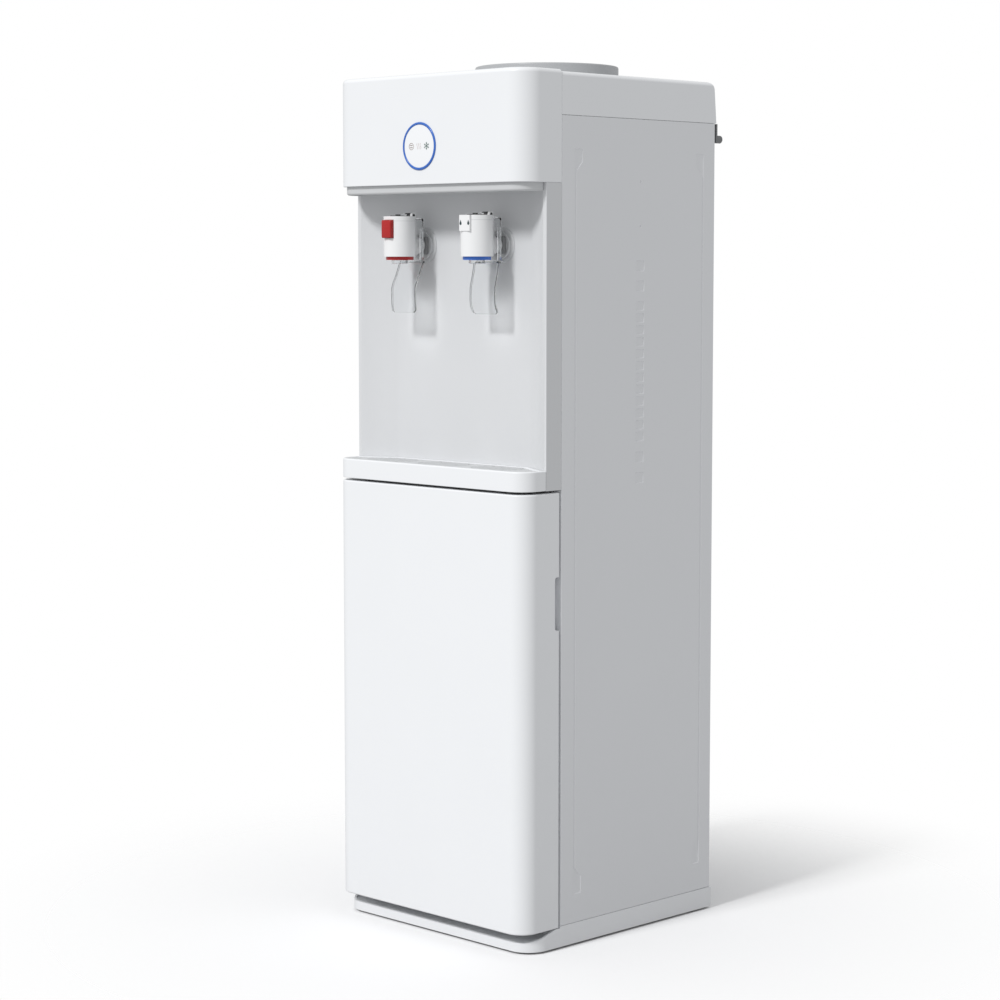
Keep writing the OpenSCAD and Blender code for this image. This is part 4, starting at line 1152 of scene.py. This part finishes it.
def pressed_shapes(middle):
    """All recesses of a side sheet, as outlines in (y, z)."""
    shapes = [soft_corners(groove_outline(middle, mirrored), 1.6 * MM) for mirrored in (False, True)]
    spots = [(z, 6.1) for z in (745.6, 723.5, 534, 511)] + [(701.4 - 13.15 * i, 5.2) for i in range(12)]
    for z, half in spots:
        y0, y1, z0, z1 = middle - 6.7 * MM, middle + 6.7 * MM, (z - half) * MM, (z + half) * MM
        shapes.append(soft_corners([(y0, z0), (y1, z0), (y1, z1), (y0, z1)], 1.2 * MM))
    for z in (837.8, 789.0):
        shapes.append([Vector(p) for p in arc_points(middle, z * MM, 1.3 * MM, 0, 330, 11)])
    return shapes


def build_side_sheet(side):
    node = "side_panel_right" if side > 0 else "side_panel_left"
    low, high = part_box(node)
    face_x = high.x if side > 0 else low.x
    thick, depth, slope = 1.2 * MM, 0.75 * MM, 0.8 * MM
    bm = bmesh.new()
    edges = []

    def add_loop(points, x):
        verts = [bm.verts.new((x, p[0], p[1])) for p in points]
        loop = [bm.edges.new((a, b)) for a, b in zip(verts, verts[1:] + verts[:1])]
        return verts, loop

    border = 0.5 * MM
    rim = [(low.y, low.z), (high.y, low.z), (high.y, high.z), (low.y, high.z)]
    inner_rim = [(low.y + border, low.z + border), (high.y - border, low.z + border),
                 (high.y - border, high.z - border), (low.y + border, high.z - border)]
    outer_verts, outer_loop = add_loop(inner_rim, face_x)
    edges += outer_loop
    rim_verts, _ = add_loop(rim, face_x - side * border)
    back_verts, _ = add_loop(rim, face_x - side * thick)
    for here, there in ((outer_verts, rim_verts), (rim_verts, back_verts)):
        for i in range(4):
            j = (i + 1) % 4
            bm.faces.new((here[i], here[j], there[j], there[i]))
    for points in pressed_shapes((low.y + high.y) / 2 + 0.02 * MM):
        round_hole = len(points) == 12
        top_verts, loop = add_loop(points, face_x)
        edges += loop
        levels = [(slope * 0.2, 0.12), (slope * 0.5, 0.5), (slope * 0.8, 0.88), (slope, 1.0)]
        previous = top_verts
        for inset, share in levels:
            verts, _ = add_loop(shrunk(points, inset * (0.5 if round_hole else 1.0)),
                                face_x - side * depth * share)
            for i in range(len(verts)):
                j = (i + 1) % len(verts)
                bm.faces.new((previous[i], previous[j], verts[j], verts[i]))
            previous = verts
        bm.faces.new(previous)
    bmesh.ops.triangle_fill(bm, use_beauty=True, use_dissolve=False, edges=edges)
    # Folded flanges at the front and the rear
    back_x = face_x - side * thick
    for reach, y0, y1 in ((14 * MM, low.y, low.y + thick), (20 * MM, high.y - 2.6 * MM, high.y - 1.4 * MM)):
        inner = face_x - side * reach
        add_block(bm, (min(inner, back_x), y0, low.z), (max(inner, back_x), y1, high.z))
    name = "side_sheet_right" if side > 0 else "side_sheet_left"
    piece = make_piece(name, bm, "cabinet", sheet_paint(), [node])
    for polygon in piece.data.polygons:
        if abs(polygon.normal.x) > 0.999:
            polygon.use_smooth = False


def build_sides():
    for side in SIDES:
        build_side_sheet(side)


def build_base():
    dress_node("base_plinth", shell_white(), bevel=0.8 * MM)
    dress_node("feet", bevel=0.3 * MM)


# ---------- rear ----------

def add_screw(bm, x, y, z, radius):
    """Pan-head screw facing +Y with a cross recess."""
    profile = [(0, 0), (radius, 0), (radius, 0.5 * MM), (radius * 0.86, 1.3 * MM), (radius * 0.5, 1.75 * MM),
               (0, 1.85 * MM)]
    add_lathe(bm, (x, y, z), profile, "Y", 28, closed=False)


def build_rear():
    dress_node("rear_panel", bevel=0)
    low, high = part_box("rear_panel")
    radius = sizes().screw_radius
    bm = bmesh.new()
    spots = [(side * (high.x - 8 * MM), low.z + (high.z - low.z) * k) for side in SIDES
             for k in (0.03, 0.26, 0.5, 0.74, 0.93)]
    for x, z in spots:
        add_screw(bm, x, high.y, z, radius)
    piece = make_piece("rear_screws", bm, "cabinet", zinc_steel())
    for long_x, long_z in ((0.62, 0.13), (0.13, 0.62)):
        slots = bmesh.new()
        for x, z in spots:
            add_block(slots, (x - radius * long_x, high.y + 1.0 * MM, z - radius * long_z),
                      (x + radius * long_x, high.y + 3 * MM, z + radius * long_z))
        cut_away(piece, slots)
    # Pressed hoods over the louvre slots
    bm = bmesh.new()
    fields = ((-46, 34, 130, 13, 9), (46, 34, 130, 13, 9), (-25, 35, 800, 12, 4))
    for centre_x, half, z_low, pitch, rows in fields:
        for row in range(rows):
            z = (z_low + pitch * row) * MM
            rings = []
            for k in range(13):
                t = -1 + 2 * k / 12
                rise = (1 - t ** 4) * 2.6 * MM + 0.05 * MM
                x = (centre_x + half * t) * MM
                rings.append([(x, high.y - 0.3 * MM, z + 5.4 * MM), (x, high.y + rise * 0.45, z + 5.2 * MM),
                              (x, high.y + rise * 0.95, z + 3.4 * MM), (x, high.y + rise, z + 1.2 * MM),
                              (x, high.y + rise - 0.8 * MM, z + 1.2 * MM),
                              (x, high.y + rise * 0.55, z + 3.6 * MM), (x, high.y - 0.3 * MM, z + 4.6 * MM)])
            add_stack(bm, rings)
    make_piece("louvre_hoods", bm, "cabinet", sheet_paint())
    for node in ("switch_bezel", "rocker_hot", "rocker_cold", "drain_fitting", "drain_cap", "cable_gland",
                 "wall_spacers"):
        dress_node(node, bevel=0.35 * MM)
    dress_node("condenser", bevel=0)
    # Strain-relief ribs on the cable gland
    gland_low, gland_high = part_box("cable_gland")
    centre = (gland_low + gland_high) / 2
    bm = bmesh.new()
    for k in range(10):
        angle = 2 * math.pi * k / 10
        x = centre.x + 11 * MM * math.cos(angle)
        z = centre.z + 11 * MM * math.sin(angle)
        add_tube(bm, [(x, high.y + 0.4 * MM, z), (x, high.y + 3.0 * MM, z)], 1.3 * MM, 10)
    make_piece("gland_grips", bm, "cabinet", soft_black())
    # Blank data plate
    bm = bmesh.new()
    plate_x, plate_z = -96 * MM, 740 * MM
    add_block(bm, (plate_x - 30 * MM, high.y + 0.02 * MM, plate_z - 18 * MM),
              (plate_x + 30 * MM, high.y + 0.35 * MM, plate_z + 18 * MM))
    make_piece("blank_data_plate", bm, "cabinet", zinc_steel(), bevel=0.15 * MM, segments=2)


# ---------- inside ----------

def build_cabinet_inside():
    dress_node("cabinet_liner", bevel=0.5 * MM)
    for node in ("cabinet_shelf", "hinge_bracket_upper", "hinge_bracket_lower", "magnet_catch"):
        dress_node(node, bevel=0.3 * MM)


def build_water_system():
    for node in ("tank_frame", "cold_tank", "tank_insulation", "hot_tank", "heater_band", "thermostats"):
        dress_node(node, bevel=0.5 * MM)
    for node in ("evaporator_coil", "water_hoses"):
        dress_node(node, bevel=0)


def build_cooling():
    dress_node("compressor", bevel=0.6 * MM)
    dress_node("compressor_grommets", bevel=0.3 * MM)
    dress_node("refrigerant_pipes", bevel=0)
    # Weld seam round the compressor's shell
    low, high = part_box("compressor")
    radius, seam = 55 * MM, 112 * MM
    centre = Vector((low.x + radius, (low.y + high.y) / 2, 0.0))
    bm = bmesh.new()
    ring = [(radius + 0.9 * MM * math.cos(math.radians(a)), seam + 2.2 * MM * math.sin(math.radians(a)))
            for a in range(0, 360, 30)]
    add_lathe(bm, (centre.x, centre.y, 0.0), ring, segments=96)
    make_piece("compressor_seam", bm, "cabinet", enamel_black())


# ---------- stage ----------

def build_floor():
    """Round pale floor that fades into the backdrop."""
    bm = bmesh.new()
    add_lathe(bm, (0.0, 0.0, -0.4 * MM), [(0.0, 0.0), (0.5, 0.0), (1.0, 0.0), (1.6, 0.0)], segments=96,
              closed=False)
    mesh = bpy.data.meshes.new("studio_floor")
    bmesh.ops.recalc_face_normals(bm, faces=bm.faces)
    bm.to_mesh(mesh)
    bm.free()
    floor = bpy.data.objects.new("studio_floor", mesh)
    bpy.context.scene.collection.objects.link(floor)
    material = bpy.data.materials.new("Studio_Floor")
    material.use_nodes = True
    tree = material.node_tree
    shader = tree.nodes["Principled BSDF"]
    base = tuple(colours().floor)
    shader.inputs["Roughness"].default_value = 0.9
    shader.inputs["Specular IOR Level"].default_value = 0.1
    seen = tree.nodes.new("ShaderNodeLightPath").outputs["Is Camera Ray"]
    pale = blend_colour(tree, noise_node(tree, 3.0), scaled(base, 0.99), base)
    tree.links.new(blend_colour(tree, seen, scaled(base, 0.5), pale), shader.inputs["Base Color"])
    clear = tree.nodes.new("ShaderNodeBsdfTransparent")
    coordinates = tree.nodes.new("ShaderNodeTexCoord")
    length = tree.nodes.new("ShaderNodeVectorMath")
    length.operation = "LENGTH"
    tree.links.new(coordinates.outputs["Object"], length.inputs[0])
    fade = tree.nodes.new("ShaderNodeMapRange")
    fade.interpolation_type = "SMOOTHSTEP"
    fade.inputs["From Min"].default_value = 0.16
    fade.inputs["From Max"].default_value = 0.75
    tree.links.new(length.outputs["Value"], fade.inputs["Value"])
    mix = tree.nodes.new("ShaderNodeMixShader")
    tree.links.new(fade.outputs["Result"], mix.inputs["Fac"])
    tree.links.new(shader.outputs["BSDF"], mix.inputs[1])
    tree.links.new(clear.outputs["BSDF"], mix.inputs[2])
    tree.links.new(mix.outputs["Shader"], tree.nodes["Material Output"].inputs["Surface"])
    mesh.materials.append(material)


def build_world():
    """White behind the object, softer light from all round."""
    world = bpy.data.worlds.new("Studio_World")
    world.use_nodes = True
    bpy.context.scene.world = world
    tree = world.node_tree
    light = tree.nodes["Background"]
    light.inputs["Color"].default_value = (0.985, 0.992, 1.0, 1.0)
    light.inputs["Strength"].default_value = 0.57
    seen = tree.nodes.new("ShaderNodeBackground")
    seen.inputs["Color"].default_value = (1.0, 1.0, 1.0, 1.0)
    path = tree.nodes.new("ShaderNodeLightPath")
    mix = tree.nodes.new("ShaderNodeMixShader")
    tree.links.new(path.outputs["Is Camera Ray"], mix.inputs["Fac"])
    tree.links.new(light.outputs["Background"], mix.inputs[1])
    tree.links.new(seen.outputs["Background"], mix.inputs[2])
    tree.links.new(mix.outputs["Shader"], tree.nodes["World Output"].inputs["Surface"])


def add_light(name, direction, strength, spread, colour=(1.0, 1.0, 1.0)):
    """A far soft light that travels along the direction; spread is its width in degrees."""
    data = bpy.data.lights.new(name, "SUN")
    data.energy = strength
    data.angle = math.radians(spread)
    data.color = colour
    lamp = bpy.data.objects.new(name, data)
    lamp.rotation_euler = Vector(direction).to_track_quat("-Z", "Y").to_euler()
    bpy.context.scene.collection.objects.link(lamp)


def build_camera():
    data = bpy.data.cameras.new("Studio_Camera")
    data.lens = 91.2
    data.sensor_width = 36.0
    data.shift_x = -0.0036
    data.shift_y = -0.003
    data.clip_end = 100.0
    camera = bpy.data.objects.new("Studio_Camera", data)
    azimuth, pitch = math.radians(45.0), math.radians(5.3)
    look = Vector((-math.sin(azimuth) * math.cos(pitch), math.cos(azimuth) * math.cos(pitch),
                   -math.sin(pitch)))
    camera.location = (2.0288, -2.0683, 0.7497)
    camera.rotation_euler = look.to_track_quat("-Z", "Y").to_euler()
    bpy.context.scene.collection.objects.link(camera)
    bpy.context.scene.camera = camera


def build_stage():
    build_floor()
    build_world()
    add_light("front_key", (0.0, 1.0, -0.87), 2.0, 11.0)
    build_camera()
    bpy.context.scene.view_settings.view_transform = "Standard"


# ---------- operators ----------

class DISPENSER_OT_head(bpy.types.Operator):
    """Build the head's shell and finish its trim and the top cover"""
    bl_idname = "dispenser.head"
    bl_label = "Head and Cover"

    def execute(self, context):
        build_head()
        return {"FINISHED"}


class DISPENSER_OT_indicator(bpy.types.Operator):
    """Build the indicator's ring, lens and icons"""
    bl_idname = "dispenser.indicator"
    bl_label = "Indicator"

    def execute(self, context):
        build_indicator()
        return {"FINISHED"}


class DISPENSER_OT_bay(bpy.types.Operator):
    """Finish the dispensing bay and build the plates behind the taps"""
    bl_idname = "dispenser.bay"
    bl_label = "Dispensing Bay"

    def execute(self, context):
        build_bay()
        build_wall_plates()
        return {"FINISHED"}


class DISPENSER_OT_taps(bpy.types.Operator):
    """Finish the taps and build their caps, lock button and marks"""
    bl_idname = "dispenser.taps"
    bl_label = "Taps"

    def execute(self, context):
        build_taps()
        return {"FINISHED"}


class DISPENSER_OT_levers(bpy.types.Operator):
    """Build the clear levers with their pins"""
    bl_idname = "dispenser.levers"
    bl_label = "Levers"

    def execute(self, context):
        build_levers()
        return {"FINISHED"}


class DISPENSER_OT_tray(bpy.types.Operator):
    """Build the drip tray and finish its grille"""
    bl_idname = "dispenser.tray"
    bl_label = "Drip Tray"

    def execute(self, context):
        build_tray()
        return {"FINISHED"}


class DISPENSER_OT_door(bpy.types.Operator):
    """Build the door's shell, finger pull and gasket bead"""
    bl_idname = "dispenser.door"
    bl_label = "Door"

    def execute(self, context):
        build_door()
        return {"FINISHED"}


class DISPENSER_OT_bottle_seat(bpy.types.Operator):
    """Build the bottle collar and finish the probe"""
    bl_idname = "dispenser.bottle_seat"
    bl_label = "Bottle Seat"

    def execute(self, context):
        build_bottle_seat()
        return {"FINISHED"}


class DISPENSER_OT_body(bpy.types.Operator):
    """Finish the side sheets, the base and the feet"""
    bl_idname = "dispenser.body"
    bl_label = "Sides and Base"

    def execute(self, context):
        build_sides()
        build_base()
        return {"FINISHED"}


class DISPENSER_OT_rear(bpy.types.Operator):
    """Finish the rear sheet and its fittings, and build screws and louvre hoods"""
    bl_idname = "dispenser.rear"
    bl_label = "Rear"

    def execute(self, context):
        build_rear()
        return {"FINISHED"}


class DISPENSER_OT_inside(bpy.types.Operator):
    """Finish the cabinet's inside, the water system and the cooling system"""
    bl_idname = "dispenser.inside"
    bl_label = "Inside"

    def execute(self, context):
        build_cabinet_inside()
        build_water_system()
        build_cooling()
        return {"FINISHED"}


class DISPENSER_OT_stage(bpy.types.Operator):
    """Build the floor, the lights and the camera"""
    bl_idname = "dispenser.stage"
    bl_label = "Stage"

    def execute(self, context):
        build_stage()
        return {"FINISHED"}


OPERATORS = (DISPENSER_OT_head, DISPENSER_OT_indicator, DISPENSER_OT_bay, DISPENSER_OT_taps,
             DISPENSER_OT_levers, DISPENSER_OT_tray, DISPENSER_OT_door, DISPENSER_OT_bottle_seat,
             DISPENSER_OT_body, DISPENSER_OT_rear, DISPENSER_OT_inside, DISPENSER_OT_stage)


class DISPENSER_PT_panel(bpy.types.Panel):
    """Lists the dispenser's pieces and settings"""
    bl_label = "Water Dispenser"
    bl_idname = "DISPENSER_PT_panel"
    bl_space_type = "VIEW_3D"
    bl_region_type = "UI"
    bl_category = "Dispenser"

    def draw(self, context):
        for operator in OPERATORS:
            self.layout.operator(operator.bl_idname)
        for settings in (context.scene.dispenser_sizes, context.scene.dispenser_colours):
            for name in settings.__annotations__:
                self.layout.prop(settings, name)


CLASSES = (DispenserSizes, DispenserColours, *OPERATORS, DISPENSER_PT_panel)


def register():
    for cls in CLASSES:
        bpy.utils.register_class(cls)
    bpy.types.Scene.dispenser_sizes = PointerProperty(type=DispenserSizes)
    bpy.types.Scene.dispenser_colours = PointerProperty(type=DispenserColours)


def unregister():
    del bpy.types.Scene.dispenser_colours
    del bpy.types.Scene.dispenser_sizes
    for cls in reversed(CLASSES):
        bpy.utils.unregister_class(cls)


def main():
    register()
    for operator in OPERATORS:
        getattr(bpy.ops.dispenser, operator.bl_idname.split(".")[1])()


if __name__ == "__main__":
    main()
